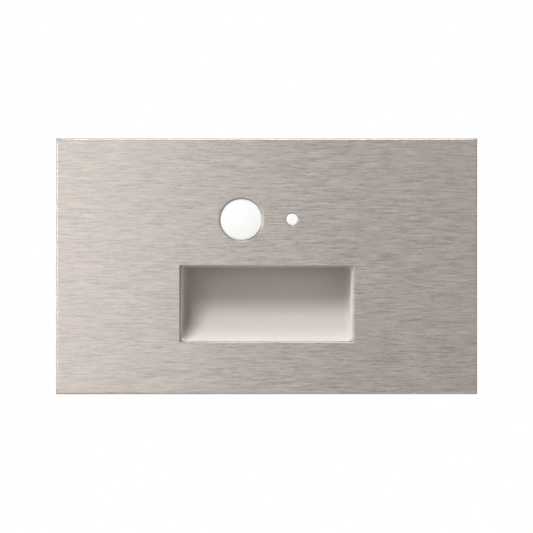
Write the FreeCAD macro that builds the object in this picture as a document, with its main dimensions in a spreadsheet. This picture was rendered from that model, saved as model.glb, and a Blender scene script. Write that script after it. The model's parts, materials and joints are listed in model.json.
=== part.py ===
import FreeCAD, Part
import math
import os

import Sketcher

V = FreeCAD.Vector

# A sensor step light for a single wall box that lies on its side: a satin metal faceplate held by
# magnets, a scoop that spreads the light of a hidden LED strip over the step, a motion sensor
# behind the large round hole and a daylight sensor behind the small one.
#
# x runs to the right, y away from the viewer and z up. The wall surface is y = 0, and the middle
# of the wall box is x = 0, z = 0.

# Driving sizes in millimetres.
SIZES = {
    # faceplate and its magnets
    "plate_width": 117.0,
    "plate_height": 71.1,
    "plate_skin": 1.7,
    "plate_rim": 1.8,
    "plate_edge_round": 0.5,
    "opening_edge_round": 0.45,
    "pipe_edge_round": 0.25,
    "magnet_radius": 4.0,
    "magnet_thickness": 2.5,
    "magnet_ring_wall": 1.2,
    "magnet_ring_relief": 0.4,
    "magnet_inset": 6.5,
    # mounting strap and the wall box screws that it takes
    "strap_thickness": 1.5,
    "strap_border": 2.7,
    "strap_corner": 3.0,
    "strap_land": 0.6,
    "box_screw_spacing": 83.3,
    "box_slot_length": 7.0,
    "box_slot_half_width": 2.0,
    # screws: shank radius, head radius, head height and shank length
    "case_screw_radius": 1.45,
    "case_screw_head": 2.4,
    "case_screw_head_height": 1.5,
    "case_screw_length": 10.0,
    "board_screw_radius": 1.0,
    "board_screw_head": 1.8,
    "board_screw_head_height": 1.0,
    "board_screw_length": 6.0,
    "scoop_screw_radius": 0.8,
    "scoop_screw_head": 1.5,
    "scoop_screw_head_height": 0.7,
    "scoop_screw_length": 4.0,
    "earth_screw_height": 9.6,
    # clearances
    "fit_gap": 0.2,
    "close_gap": 0.05,
    "part_gap": 0.5,
    "skin_gap": 0.1,
    # housing, rear cover and cable inlet
    "housing_width": 70.0,
    "housing_height": 49.0,
    "housing_depth": 40.0,
    "housing_wall": 1.4,
    "housing_corner": 2.0,
    "column_radius": 2.8,
    "column_merge": 0.4,
    "column_bore_depth": 10.5,
    "cover_thickness": 2.0,
    "cover_rib": 1.2,
    "cover_edge_round": 0.6,
    "cover_panel_depth": 0.4,
    "seal_thickness": 0.8,
    "seal_width": 2.0,
    "grommet_inset_x": 8.7,
    "grommet_inset_z": 12.2,
    "grommet_neck": 6.0,
    "grommet_flange": 7.5,
    "grommet_lip": 1.2,
    "grommet_bore": 3.5,
    # front carrier
    "carrier_flange": 2.0,
    "carrier_skin": 1.8,
    "carrier_wall": 1.8,
    "boss_radius": 2.0,
    # scoop and the LED strip above it
    "scoop_side_bar": 4.75,
    "scoop_low_bar": 2.2,
    "scoop_top_drop": 0.1,
    "scoop_side_reveal": 0.55,
    "scoop_end_reveal": 0.2,
    "scoop_wall": 1.2,
    "scoop_side_draft": 2.0,
    "scoop_flange": 1.0,
    "scoop_flange_margin": 0.4,
    "scoop_flange_lap": 0.8,
    "diffuser_thickness": 1.0,
    "diffuser_lap": 1.2,
    "led_deck": 2.6,
    "led_block_width": 3.2,
    "led_board_inset": 1.55,
    "led_board_depth": 10.0,
    "led_board_thickness": 1.0,
    "led_chip_width": 3.5,
    "led_chip_depth": 2.8,
    "led_chip_height": 0.8,
    "led_lead_radius": 0.5,
    "led_lead_pitch": 2.6,
    "spreader_thickness": 1.2,
    "spreader_leg": 14.0,
    "spreader_notch": 7.0,
    # motion sensor
    "sensor_rise": 0.95,
    "pir_x": -7.1,
    "lens_radius": 5.72,
    "lens_hole_gap": 0.155,
    "lens_wall": 0.7,
    "lens_crown": 0.35,
    "lens_recess": 0.3,
    "lens_flange": 7.0,
    "shroud_radius": 6.2,
    "shroud_wall": 0.9,
    "pir_can_radius": 4.1,
    "pir_can_rim": 4.6,
    "pir_can_rim_height": 0.5,
    "pir_can_height": 4.2,
    "pir_window_width": 4.0,
    "pir_window_height": 3.0,
    "pir_window_depth": 0.4,
    # daylight sensor
    "pipe_x": 7.1,
    "pipe_radius": 1.62,
    "pipe_hole_gap": 0.105,
    "pipe_recess": 0.2,
    "pipe_collar": 2.5,
    "cell_radius": 2.4,
    "cell_height": 1.5,
    # sensor board and its controls
    "sensor_board_front": 9.5,
    "sensor_board_margin": 0.9,
    "board_thickness": 1.6,
    "time_trimmer_inset": 3.6,
    "lux_trimmer_gap": 0.3,
    "trimmer_side": 6.0,
    "trimmer_depth": 4.6,
    "trimmer_bore": 1.3,
    "trimmer_spigot": 2.0,
    "knob_radius": 2.2,
    "knob_recess": 0.3,
    "knob_slot_width": 0.7,
    "knob_slot_depth": 0.8,
    "mode_switch_inset": 0.4,
    "switch_width": 7.5,
    "switch_height": 4.4,
    "switch_depth": 3.8,
    "switch_groove_depth": 1.6,
    "lever_width": 1.8,
    "lever_height": 1.4,
    "lever_travel": 2.0,
    "chip_height": 1.3,
    # link between the boards
    "link_inset": 2.9,
    "link_pitch": 2.54,
    "link_pin_radius": 0.32,
    "link_header_depth": 2.5,
    # driver board and its parts
    "driver_room": 14.5,
    "core_x": 5.0,
    "core_width": 14.0,
    "core_depth": 9.0,
    "core_height": 13.0,
    "core_leg": 4.0,
    "core_window": 3.2,
    "core_window_height": 8.2,
    "coil_overhang": 1.4,
    "capacitor_inset": 12.6,
    "capacitor_drop": 8.4,
    "capacitor_radius": 4.0,
    "capacitor_length": 10.5,
    "choke_inset": 23.6,
    "choke_drop": 6.9,
    "choke_radius": 4.0,
    "choke_core": 2.4,
    "choke_length": 8.0,
    "choke_lip": 1.1,
    "fuse_inset": 12.6,
    "fuse_drop": 6.9,
    "fuse_radius": 2.6,
    "fuse_length": 8.0,
    "terminal_inset": 10.6,
    "terminal_rise": 7.9,
    "terminal_pitch": 5.0,
    "terminal_width": 9.0,
    "terminal_depth": 9.0,
    "terminal_screw": 1.6,
    "terminal_screw_sink": 1.0,
}

LED_COUNT = 6
LINK_PIN_COUNT = 6
TERMINAL_COUNT = 3
SIDES = (-1, 1)
CORNERS = [(side, end) for side in SIDES for end in SIDES]
OVERSHOOT = 1.0    # how far a cutting shape runs past the face that it opens

# A screw's drive, as shares of its own head: depths of its height, the rest of its radius.
RECESS_DEPTH = 0.6
RECESS_REACH = 0.6
RECESS_HALF_WIDTH = 0.12
SLOT_DEPTH = 0.5
SLOT_LENGTH = 1.6
SLOT_WIDTH = 0.25

doc = FreeCAD.newDocument("step_light")
sheet = doc.addObject("Spreadsheet::Sheet", "Sizes")


# ---------------------------------------------------------------- sizes as expressions

class Size:
    """A length: its present number, and the expression over the sheet that gives it."""

    def __init__(self, number, text):
        self.number = number
        self.text = text

    def joined(self, sign, other, number):
        return Size(number, f"({self.text} {sign} {other.text})")

    def __add__(self, other):
        other = lift(other)
        return self.joined("+", other, self.number + other.number)

    def __sub__(self, other):
        other = lift(other)
        return self.joined("-", other, self.number - other.number)

    def __mul__(self, other):
        other = lift(other)
        return self.joined("*", other, self.number * other.number)

    def __truediv__(self, other):
        other = lift(other)
        return self.joined("/", other, self.number / other.number)

    def __radd__(self, other):
        return lift(other) + self

    def __rsub__(self, other):
        return lift(other) - self

    def __rmul__(self, other):
        return lift(other) * self

    def __neg__(self):
        return Size(-self.number, f"(0 - {self.text})")


def lift(value):
    """A plain number as a Size."""
    return value if isinstance(value, Size) else Size(float(value), repr(float(value)))


def bind(thing, name, value):
    """Tie one property of an object to a Size."""
    thing.setExpression(name, lift(value).text)


class Places:
    """Every driving size by name, with the places that follow from them."""


def read_sheet():
    """Fill the sheet, one named cell for each driving size."""
    places = Places()
    for row, (name, number) in enumerate(SIZES.items(), start=1):
        sheet.set(f"A{row}", name)
        sheet.set(f"B{row}", str(number))
        sheet.setAlias(f"B{row}", name)
        setattr(places, name, Size(number, f"Sizes.{name}"))
    doc.recompute()
    return places


# ---------------------------------------------------------------- solids from primitives

def box(name, x, y, z):
    """A box over three (low, high) spans."""
    thing = doc.addObject("Part::Box", name)
    for prop, axis, (low, high) in zip(("Length", "Width", "Height"), "xyz", (x, y, z)):
        bind(thing, prop, lift(high) - low)
        bind(thing, "Placement.Base." + axis, low)
    return thing


def rod(name, x, z, y, radius, tip_radius=None):
    """A cylinder along y over the (low, high) span y, or a cone where it has a tip radius."""
    low, high = y
    kind = "Part::Cylinder" if tip_radius is None else "Part::Cone"
    thing = doc.addObject(kind, name)
    thing.Placement = FreeCAD.Placement(V(), FreeCAD.Rotation(V(1, 0, 0), -90))
    if tip_radius is None:
        bind(thing, "Radius", radius)
    else:
        bind(thing, "Radius1", radius)
        bind(thing, "Radius2", tip_radius)
    bind(thing, "Height", lift(high) - low)
    for axis, value in zip("xyz", (x, low, z)):
        bind(thing, "Placement.Base." + axis, value)
    return thing


def post(name, x, y, z, radius):
    """A cylinder along z over the (low, high) span z."""
    low, high = z
    thing = doc.addObject("Part::Cylinder", name)
    bind(thing, "Radius", radius)
    bind(thing, "Height", lift(high) - low)
    for axis, value in zip("xyz", (x, y, low)):
        bind(thing, "Placement.Base." + axis, value)
    return thing


def fuse(name, *things):
    result = doc.addObject("Part::MultiFuse", name)
    result.Shapes = list(things)
    result.Refine = True
    return result


def cut(name, base, *tools):
    result = doc.addObject("Part::Cut", name)
    result.Base = base
    result.Tool = tools[0] if len(tools) == 1 else fuse(name + "_tools", *tools)
    result.Refine = True
    return result


def group(name, things):
    """Separate solids that share one node."""
    result = doc.addObject("Part::Compound", name)
    result.Links = list(things)
    return result


# ---------------------------------------------------------------- bodies from sketches

def new_body(name):
    return doc.addObject("PartDesign::Body", name)


def sketch_on(body, name, role, level):
    """A sketch on one of the body's origin planes, moved along the plane's normal by level."""
    plane = next(item for item in body.Origin.OriginFeatures if item.Role == role)
    sketch = body.newObject("Sketcher::SketchObject", name)
    sketch.AttachmentSupport = [(plane, "")]
    sketch.MapMode = "FlatFace"
    bind(sketch, "AttachmentOffset.Base.z", level)
    return sketch


def front_sketch(body, name, y):
    """A sketch seen from the front: its axes are x and z, and it lies at depth y."""
    return sketch_on(body, name, "XZ_Plane", -lift(y))


def hold(sketch, kind, item, point, value):
    """Hold a sketch point at a signed distance from the origin, tied to a Size.

    A sketch numbers its level axis and origin -1, and its upright axis -2.
    """
    value = lift(value)
    if value.text == "0.0":
        axis = -2 if kind == "DistanceX" else -1
        sketch.addConstraint(Sketcher.Constraint("PointOnObject", item, point, axis))
        return
    number = sketch.addConstraint(Sketcher.Constraint(kind, -1, 1, item, point, value.number))
    sketch.setExpression(f"Constraints[{number}]", value.text)


def polygon(sketch, points):
    """A closed outline of straight lines through (across, up) points."""
    corners = [V(lift(a).number, lift(b).number, 0) for a, b in points]
    count = len(corners)
    lines = [sketch.addGeometry(Part.LineSegment(corners[i], corners[(i + 1) % count]), False)
             for i in range(count)]
    for i, (across, up) in enumerate(points):
        sketch.addConstraint(Sketcher.Constraint("Coincident", lines[i - 1], 2, lines[i], 1))
        hold(sketch, "DistanceX", lines[i], 1, across)
        hold(sketch, "DistanceY", lines[i], 1, up)


def rectangle(sketch, across, up):
    """A rectangle over two (low, high) spans."""
    (left, right), (low, high) = across, up
    polygon(sketch, [(left, low), (right, low), (right, high), (left, high)])


def circle(sketch, across, up, radius):
    radius = lift(radius)
    centre = V(lift(across).number, lift(up).number, 0)
    item = sketch.addGeometry(Part.Circle(centre, V(0, 0, 1), radius.number), False)
    hold(sketch, "DistanceX", item, 3, across)
    hold(sketch, "DistanceY", item, 3, up)
    number = sketch.addConstraint(Sketcher.Constraint("Radius", item, radius.number))
    sketch.setExpression(f"Constraints[{number}]", radius.text)


def slot(sketch, across, half_width, length):
    """A slot with round ends along the first axis, centred at (across, 0)."""
    reach = length / 2 - half_width
    ends = [across - reach, across + reach]
    turns = [(math.pi / 2, 3 * math.pi / 2), (-math.pi / 2, math.pi / 2)]
    arcs = []
    for end, (start, stop) in zip(ends, turns):
        ring = Part.Circle(V(end.number, 0, 0), V(0, 0, 1), half_width.number)
        arcs.append(sketch.addGeometry(Part.ArcOfCircle(ring, start, stop), False))
        hold(sketch, "DistanceX", arcs[-1], 3, end)
        hold(sketch, "DistanceY", arcs[-1], 3, 0)
    for side, first, second in ((-1, arcs[0], arcs[1]), (1, arcs[1], arcs[0])):
        level = side * half_width.number
        run = [V(end.number, level, 0) for end in (ends if side < 0 else ends[::-1])]
        line = sketch.addGeometry(Part.LineSegment(*run), False)
        sketch.addConstraint(Sketcher.Constraint("Tangent", first, 2, line, 1))
        sketch.addConstraint(Sketcher.Constraint("Tangent", line, 2, second, 1))
    number = sketch.addConstraint(Sketcher.Constraint("Radius", arcs[0], half_width.number))
    sketch.setExpression(f"Constraints[{number}]", half_width.text)


def pad(body, name, sketch, length):
    """Grow a sketch along its normal: a front sketch grows towards the viewer."""
    feature = body.newObject("PartDesign::Pad", name)
    feature.Profile = sketch
    bind(feature, "Length", length)
    sketch.Visibility = False
    return feature


def pocket(body, name, sketch, length):
    """Cut a sketch against its normal: a front sketch cuts away from the viewer."""
    feature = body.newObject("PartDesign::Pocket", name)
    feature.Profile = sketch
    bind(feature, "Length", length)
    sketch.Visibility = False
    return feature


def revolve(body, name, sketch):
    """Turn a sketch of (radius, y) points on the XY plane once round the body's y axis."""
    feature = body.newObject("PartDesign::Revolution", name)
    feature.Profile = sketch
    feature.ReferenceAxis = (sketch, ["V_Axis"])
    feature.Angle = 360
    sketch.Visibility = False
    return feature


def turned_body(name, x, z, points):
    """A turned piece: an outline of (radius, y) points round a y axis through (x, z)."""
    body = new_body(name)
    sketch = sketch_on(body, name + "_outline", "XY_Plane", 0)
    polygon(sketch, points)
    revolve(body, name + "_turned", sketch)
    bind(body, "Placement.Base.x", x)
    bind(body, "Placement.Base.z", z)
    return body


def round_edges(body, name, radius, chosen):
    """Round the edges of the body's last feature that the test chooses."""
    doc.recompute()
    base = body.Tip
    names = [f"Edge{i}" for i, edge in enumerate(base.Shape.Edges, start=1) if chosen(edge)]
    feature = body.newObject("PartDesign::Fillet", name)
    feature.Base = (base, names)
    bind(feature, "Radius", radius)
    return feature


def close(a, b):
    return abs(a - b) < 1e-4


def runs_along_y(edge):
    span = edge.Vertexes[-1].Point - edge.Vertexes[0].Point
    return edge.Curve.TypeId == "Part::GeomLine" and close(abs(span.y), span.Length)


def outer_corner(body):
    """A test for the four outer upright corners, which run along y."""
    doc.recompute()
    limits = body.Shape.BoundBox

    def chosen(edge):
        place = edge.CenterOfMass
        return (runs_along_y(edge) and close(abs(place.x), limits.XMax)
                and close(abs(place.z), limits.ZMax))
    return chosen


# ---------------------------------------------------------------- places

def lay_out(p):
    """Places that several pieces share."""
    # depths, from the wall towards the viewer
    p.strap_front = -p.strap_thickness
    p.skin_back = p.strap_front - p.magnet_thickness
    p.plate_front = p.skin_back - p.plate_skin
    p.scoop_front = p.skin_back + p.skin_gap
    p.carrier_front = p.scoop_front + p.scoop_flange
    p.carrier_back = p.carrier_flange
    # faceplate and strap
    p.plate_half = (p.plate_width / 2, p.plate_height / 2)
    p.strap_half = tuple(half - p.plate_rim - p.strap_border for half in p.plate_half)
    p.magnet_place = tuple(half - p.magnet_inset for half in p.strap_half)
    p.box_screw_x = p.box_screw_spacing / 2
    # housing, and the columns that take its screws
    p.housing_half = (p.housing_width / 2, p.housing_height / 2)
    p.room_half = tuple(half - p.housing_wall for half in p.housing_half)
    p.column = tuple(half - p.column_radius + p.column_merge for half in p.room_half)
    p.case_hole = p.case_screw_radius + p.fit_gap
    p.carrier_half = (p.column[0] - p.case_screw_head - p.strap_land, p.room_half[1] - p.fit_gap)
    p.carrier_room = p.carrier_half[0] - p.carrier_wall
    p.window_half = tuple(half + p.fit_gap for half in p.carrier_half)
    p.cover_front = p.housing_depth + p.seal_thickness
    p.cover_back = p.cover_front + p.cover_thickness
    p.grommet_x = p.grommet_inset_x - p.column[0]
    p.grommet_z = p.grommet_inset_z - p.column[1]
    # scoop
    p.scoop_half = p.carrier_half[0] - p.scoop_side_bar
    p.scoop_top = -p.scoop_top_drop
    p.scoop_low = p.scoop_low_bar - p.carrier_half[1]
    p.scoop_height = p.scoop_top - p.scoop_low
    p.scoop_middle = (p.scoop_top + p.scoop_low) / 2
    p.ceiling_top = p.scoop_top + p.scoop_wall
    p.scoop_outer_half = p.scoop_half + p.scoop_wall
    p.scoop_back = p.scoop_front + p.scoop_height + p.scoop_wall
    p.scoop_flange_half = p.carrier_half[0] - p.scoop_flange_margin
    p.scoop_screw_x = (p.scoop_outer_half + p.scoop_flange_half) / 2
    # LED strip above the scoop
    p.led_front = p.carrier_back + p.part_gap
    p.led_back = p.led_front + p.led_board_depth
    p.led_middle = (p.led_front + p.led_back) / 2
    p.led_half = p.scoop_outer_half - p.led_board_inset
    p.led_board_low = p.ceiling_top + p.led_deck
    p.led_board_top = p.led_board_low + p.led_board_thickness
    p.spreader_top = p.led_board_top + p.spreader_thickness
    p.block_outer = p.led_half - p.part_gap
    p.block_inner = p.block_outer - p.led_block_width
    p.led_screw_x = (p.block_outer + p.block_inner) / 2
    p.diffuser_half = p.block_inner - p.fit_gap
    p.light_window_half = p.diffuser_half - p.diffuser_lap
    p.led_chip_pitch = 2 * p.light_window_half / LED_COUNT
    p.led_lead_z = p.led_board_top - p.led_lead_radius - p.fit_gap
    p.leg_front = p.scoop_back + p.part_gap
    # sensor board
    p.sensor_height = p.spreader_top + p.shroud_radius + p.sensor_rise
    p.board_half = p.column[0] - p.column_radius - p.sensor_board_margin
    p.board_back = p.sensor_board_front + p.board_thickness
    p.board_low = p.spreader_top + p.board_screw_head_height + p.fit_gap
    p.board_top = p.room_half[1] - p.part_gap
    p.boss_x = p.board_half - p.boss_radius
    p.boss_z = p.board_top - p.boss_radius - p.fit_gap
    p.hollow_low = p.ceiling_top + p.carrier_wall
    p.hollow_top = p.carrier_half[1] - p.carrier_wall
    p.carrier_skin_back = p.carrier_front + p.carrier_skin
    p.knob_front = p.carrier_front + p.knob_recess
    p.trimmer_front = p.sensor_board_front - p.trimmer_depth
    p.switch_front = p.sensor_board_front - p.switch_depth
    p.time_trimmer_x = p.trimmer_side / 2 + p.time_trimmer_inset - p.board_half
    p.mode_switch_x = p.board_half - p.switch_width / 2 - p.mode_switch_inset
    p.lux_trimmer_x = (p.mode_switch_x - p.switch_width / 2 - p.trimmer_side / 2
                       - p.lux_trimmer_gap)
    # driver board
    p.driver_board_front = p.housing_depth - p.driver_room
    p.driver_back = p.driver_board_front + p.board_thickness
    p.driver_half = (p.room_half[0] - p.part_gap, p.column[1] - p.column_radius - p.part_gap)
    p.link_height = p.driver_half[1] - p.link_inset
    p.capacitor_x = p.driver_half[0] - p.capacitor_inset
    p.choke_x = p.choke_inset - p.driver_half[0]
    p.fuse_x = p.fuse_inset - p.driver_half[0]
    p.terminal_x = p.terminal_inset - p.driver_half[0]
    p.capacitor_z = p.driver_half[1] - p.capacitor_drop
    p.choke_z = p.driver_half[1] - p.choke_drop
    p.fuse_z = p.driver_half[1] - p.fuse_drop
    p.terminal_z = p.terminal_rise - p.driver_half[1]


def centred(middle, whole):
    """The (low, high) span of a length centred on a place."""
    return (middle - whole / 2, middle + whole / 2)


def span(half):
    """The (low, high) span either side of the middle."""
    return (-half, half)


def spread(count, pitch):
    """Places at an even pitch either side of the middle."""
    return [(i - (count - 1) / 2) * pitch for i in range(count)]


# ---------------------------------------------------------------- screws

def screw(name, x, z, seat, direction, radius, head, head_height, length):
    """A pan screw along y with a cross recess: its head stands on seat, against direction."""
    seat = lift(seat)
    tip = seat + direction * length
    top = seat - direction * head_height
    ordered = (lambda a, b: (a, b)) if direction > 0 else (lambda a, b: (b, a))
    shank = rod(name + "_shank", x, z, ordered(seat, tip), radius)
    cap = rod(name + "_head", x, z, ordered(top, seat), head)
    whole = fuse(name + "_blank", shank, cap)
    depth = top + direction * head_height * RECESS_DEPTH
    wide, narrow = head * RECESS_REACH, head * RECESS_HALF_WIDTH
    recess = [box(f"{name}_recess_{turn}", (x - a, x + a),
                  ordered(top - direction * OVERSHOOT, depth), (z - b, z + b))
              for turn, (a, b) in enumerate(((wide, narrow), (narrow, wide)))]
    return cut(name, whole, *recess)


def case_screws(p, name, places, seat, direction):
    """The larger screws, one at each (x, z) place."""
    return group(name, [screw(f"{name}_{i}", x, z, seat, direction, p.case_screw_radius,
                              p.case_screw_head, p.case_screw_head_height, p.case_screw_length)
                        for i, (x, z) in enumerate(places)])


def board_screws(p, name, places, seat):
    """The small screws that go in from the back, one at each (x, z) place."""
    return group(name, [screw(f"{name}_{i}", x, z, seat, -1, p.board_screw_radius,
                              p.board_screw_head, p.board_screw_head_height, p.board_screw_length)
                        for i, (x, z) in enumerate(places)])


def corner_places(p):
    return [(side * p.column[0], end * p.column[1]) for side, end in CORNERS]


# ---------------------------------------------------------------- faceplate

def faceplate(p):
    """The cap: a flat skin with a rim, the three openings and rings for the magnets."""
    body = new_body("faceplate")
    outline = front_sketch(body, "faceplate_outline", 0)
    rectangle(outline, span(p.plate_half[0]), span(p.plate_half[1]))
    pad(body, "faceplate_block", outline, -p.plate_front)
    hollow = front_sketch(body, "faceplate_hollow_outline", p.skin_back)
    rectangle(hollow, *[span(half - p.plate_rim) for half in p.plate_half])
    pocket(body, "faceplate_hollow", hollow, -p.skin_back)

    openings = front_sketch(body, "faceplate_opening_outlines", p.plate_front)
    rectangle(openings, span(p.scoop_half + p.scoop_side_reveal),
              (p.scoop_low - p.scoop_end_reveal, p.scoop_top + p.scoop_end_reveal))
    circle(openings, p.pir_x, p.sensor_height, p.lens_radius + p.lens_hole_gap)
    circle(openings, p.pipe_x, p.sensor_height, p.pipe_radius + p.pipe_hole_gap)
    pocket(body, "faceplate_openings", openings, p.plate_skin)

    rings = front_sketch(body, "faceplate_ring_outlines", p.strap_front - p.magnet_ring_relief)
    for side, end in CORNERS:
        place = (side * p.magnet_place[0], end * p.magnet_place[1])
        circle(rings, *place, p.magnet_radius + p.close_gap)
        circle(rings, *place, p.magnet_radius + p.close_gap + p.magnet_ring_wall)
    ring_height = p.magnet_thickness - p.magnet_ring_relief
    pad(body, "faceplate_rings", rings, ring_height + p.plate_skin / 4)

    front = p.plate_front.number

    def in_front(edge):
        return all(close(corner.Point.y, front) for corner in edge.Vertexes)

    def on_outline(edge):
        return close(abs(edge.CenterOfMass.x), p.plate_half[0].number) or close(
            abs(edge.CenterOfMass.z), p.plate_half[1].number)

    def is_pipe_hole(edge):
        return edge.Curve.TypeId == "Part::GeomCircle" and edge.Curve.Radius < p.pipe_collar.number

    round_edges(body, "faceplate_outline_round", p.plate_edge_round,
                lambda edge: in_front(edge) and on_outline(edge))
    round_edges(body, "faceplate_opening_round", p.opening_edge_round,
                lambda edge: in_front(edge) and near_openings(edge, p) and not is_pipe_hole(edge))
    round_edges(body, "faceplate_pipe_round", p.pipe_edge_round,
                lambda edge: in_front(edge) and is_pipe_hole(edge))
    return body


def near_openings(edge, p):
    """True well inside the outline, where the openings are."""
    inner = [half.number - p.plate_rim.number for half in p.plate_half]
    return abs(edge.CenterOfMass.x) < inner[0] and abs(edge.CenterOfMass.z) < inner[1]


def faceplate_magnets(p):
    """Four disc magnets between the faceplate and the strap."""
    return group("faceplate_magnets", [
        rod(f"magnet_{i}", side * p.magnet_place[0], end * p.magnet_place[1],
            (p.skin_back, p.strap_front), p.magnet_radius)
        for i, (side, end) in enumerate(CORNERS)])


# ---------------------------------------------------------------- strap and housing

def mounting_strap(p):
    """A steel strap with a window for the carrier and slots for the two wall box screws."""
    body = new_body("mounting_strap")
    outline = front_sketch(body, "strap_outline", 0)
    rectangle(outline, span(p.strap_half[0]), span(p.strap_half[1]))
    pad(body, "strap_sheet", outline, p.strap_thickness)
    round_edges(body, "strap_corners", p.strap_corner, outer_corner(body))
    holes = front_sketch(body, "strap_holes_outline", p.strap_front)
    rectangle(holes, span(p.window_half[0]), span(p.window_half[1]))
    for x, z in corner_places(p) + [(-p.column[0], p.earth_screw_height)]:
        circle(holes, x, z, p.case_hole)
    for side in SIDES:
        slot(holes, side * p.box_screw_x, p.box_slot_half_width, p.box_slot_length)
    pocket(body, "strap_holes", holes, p.strap_thickness)
    return body


def strap_screws(p):
    return case_screws(p, "strap_screws", corner_places(p), p.strap_front, 1)


def earth_screw(p):
    """A brass screw through strap and carrier that clamps the earth lead."""
    return screw("earth_screw", -p.column[0], p.earth_screw_height, p.strap_front, 1,
                 p.case_screw_radius, p.case_screw_head, p.case_screw_head_height,
                 p.case_screw_length)


def housing(p):
    """A moulded tube with six screw columns: four in the corners and two for the driver board."""
    body = new_body("housing")
    outline = front_sketch(body, "housing_outline", p.housing_depth)
    rectangle(outline, span(p.housing_half[0]), span(p.housing_half[1]))
    pad(body, "housing_block", outline, p.housing_depth)
    round_edges(body, "housing_corners", p.housing_corner, outer_corner(body))
    room = front_sketch(body, "housing_room_outline", 0)
    rectangle(room, span(p.room_half[0]), span(p.room_half[1]))
    pocket(body, "housing_room", room, p.housing_depth)

    corner = front_sketch(body, "housing_corner_columns_outline", p.housing_depth)
    for x, z in corner_places(p):
        circle(corner, x, z, p.column_radius)
    pad(body, "housing_corner_columns", corner, p.housing_depth - p.carrier_back)
    middle = front_sketch(body, "housing_side_columns_outline", p.driver_board_front)
    for side in SIDES:
        circle(middle, side * p.column[0], 0, p.column_radius)
    pad(body, "housing_side_columns", middle, p.driver_board_front - p.carrier_back)

    bores = (
        ("front", p.carrier_back, corner_places(p), p.case_screw_radius),
        ("rear", p.housing_depth - p.column_bore_depth, corner_places(p), p.case_screw_radius),
        ("driver", p.driver_board_front - p.column_bore_depth,
         [(side * p.column[0], lift(0)) for side in SIDES], p.board_screw_radius),
    )
    for name, start, places, radius in bores:
        sketch = front_sketch(body, f"housing_{name}_bores_outline", start)
        for x, z in places:
            circle(sketch, x, z, radius + p.close_gap)
        pocket(body, f"housing_{name}_bores", sketch, p.column_bore_depth)
    return body


def rear_cover(p):
    """The lid behind the housing, with ribs inside and a hole for the cable grommet."""
    body = new_body("rear_cover")
    outline = front_sketch(body, "cover_outline", p.cover_back)
    rectangle(outline, span(p.housing_half[0]), span(p.housing_half[1]))
    pad(body, "cover_sheet", outline, p.cover_thickness)
    round_edges(body, "cover_corners", p.housing_corner, outer_corner(body))
    back = p.cover_back.number
    round_edges(body, "cover_edge", p.cover_edge_round,
                lambda edge: all(close(corner.Point.y, back) for corner in edge.Vertexes))
    panel = front_sketch(body, "cover_panel_outline", p.cover_back - p.cover_panel_depth)
    panel_left = p.grommet_x + p.grommet_flange + p.part_gap
    rectangle(panel, (panel_left, p.column[0] - p.column_radius), span(p.column[1] / 2))
    pocket(body, "cover_panel", panel, p.cover_panel_depth)
    holes = front_sketch(body, "cover_holes_outline", p.cover_front)
    for x, z in corner_places(p):
        circle(holes, x, z, p.case_hole)
    circle(holes, p.grommet_x, p.grommet_z, p.grommet_neck + p.close_gap)
    pocket(body, "cover_holes", holes, p.cover_thickness)
    ribs = front_sketch(body, "cover_ribs_outline", p.cover_front)
    for z in (-p.column[1] / 3, p.column[1] / 3):
        rectangle(ribs, (panel_left, p.column[0] - p.column_radius), centred(z, p.cover_rib))
    pad(body, "cover_ribs", ribs, p.cover_rib)
    return body


def rear_cover_seal(p):
    """A flat frame seal between housing and cover."""
    body = new_body("rear_cover_seal")
    frame = front_sketch(body, "seal_outline", p.cover_front)
    rectangle(frame, span(p.housing_half[0]), span(p.housing_half[1]))
    rectangle(frame, *[span(half - p.seal_width) for half in p.housing_half])
    pad(body, "seal_sheet", frame, p.seal_thickness)
    round_edges(body, "seal_corners", p.housing_corner, outer_corner(body))
    return body


def rear_cover_screws(p):
    return case_screws(p, "rear_cover_screws", corner_places(p), p.cover_back, -1)


def cable_grommet(p):
    """A rubber grommet whose neck fills the cover's hole, with a bore for the supply cable."""
    return turned_body("cable_grommet", p.grommet_x, p.grommet_z, [
        (p.grommet_bore, p.cover_front - p.grommet_lip),
        (p.grommet_flange, p.cover_front - p.grommet_lip),
        (p.grommet_flange, p.cover_front),
        (p.grommet_neck, p.cover_front),
        (p.grommet_neck, p.cover_back),
        (p.grommet_flange, p.cover_back),
        (p.grommet_flange - p.grommet_lip / 2, p.cover_back + p.grommet_lip),
        (p.grommet_bore, p.cover_back + p.grommet_lip),
    ])


# ---------------------------------------------------------------- front carrier

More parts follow.
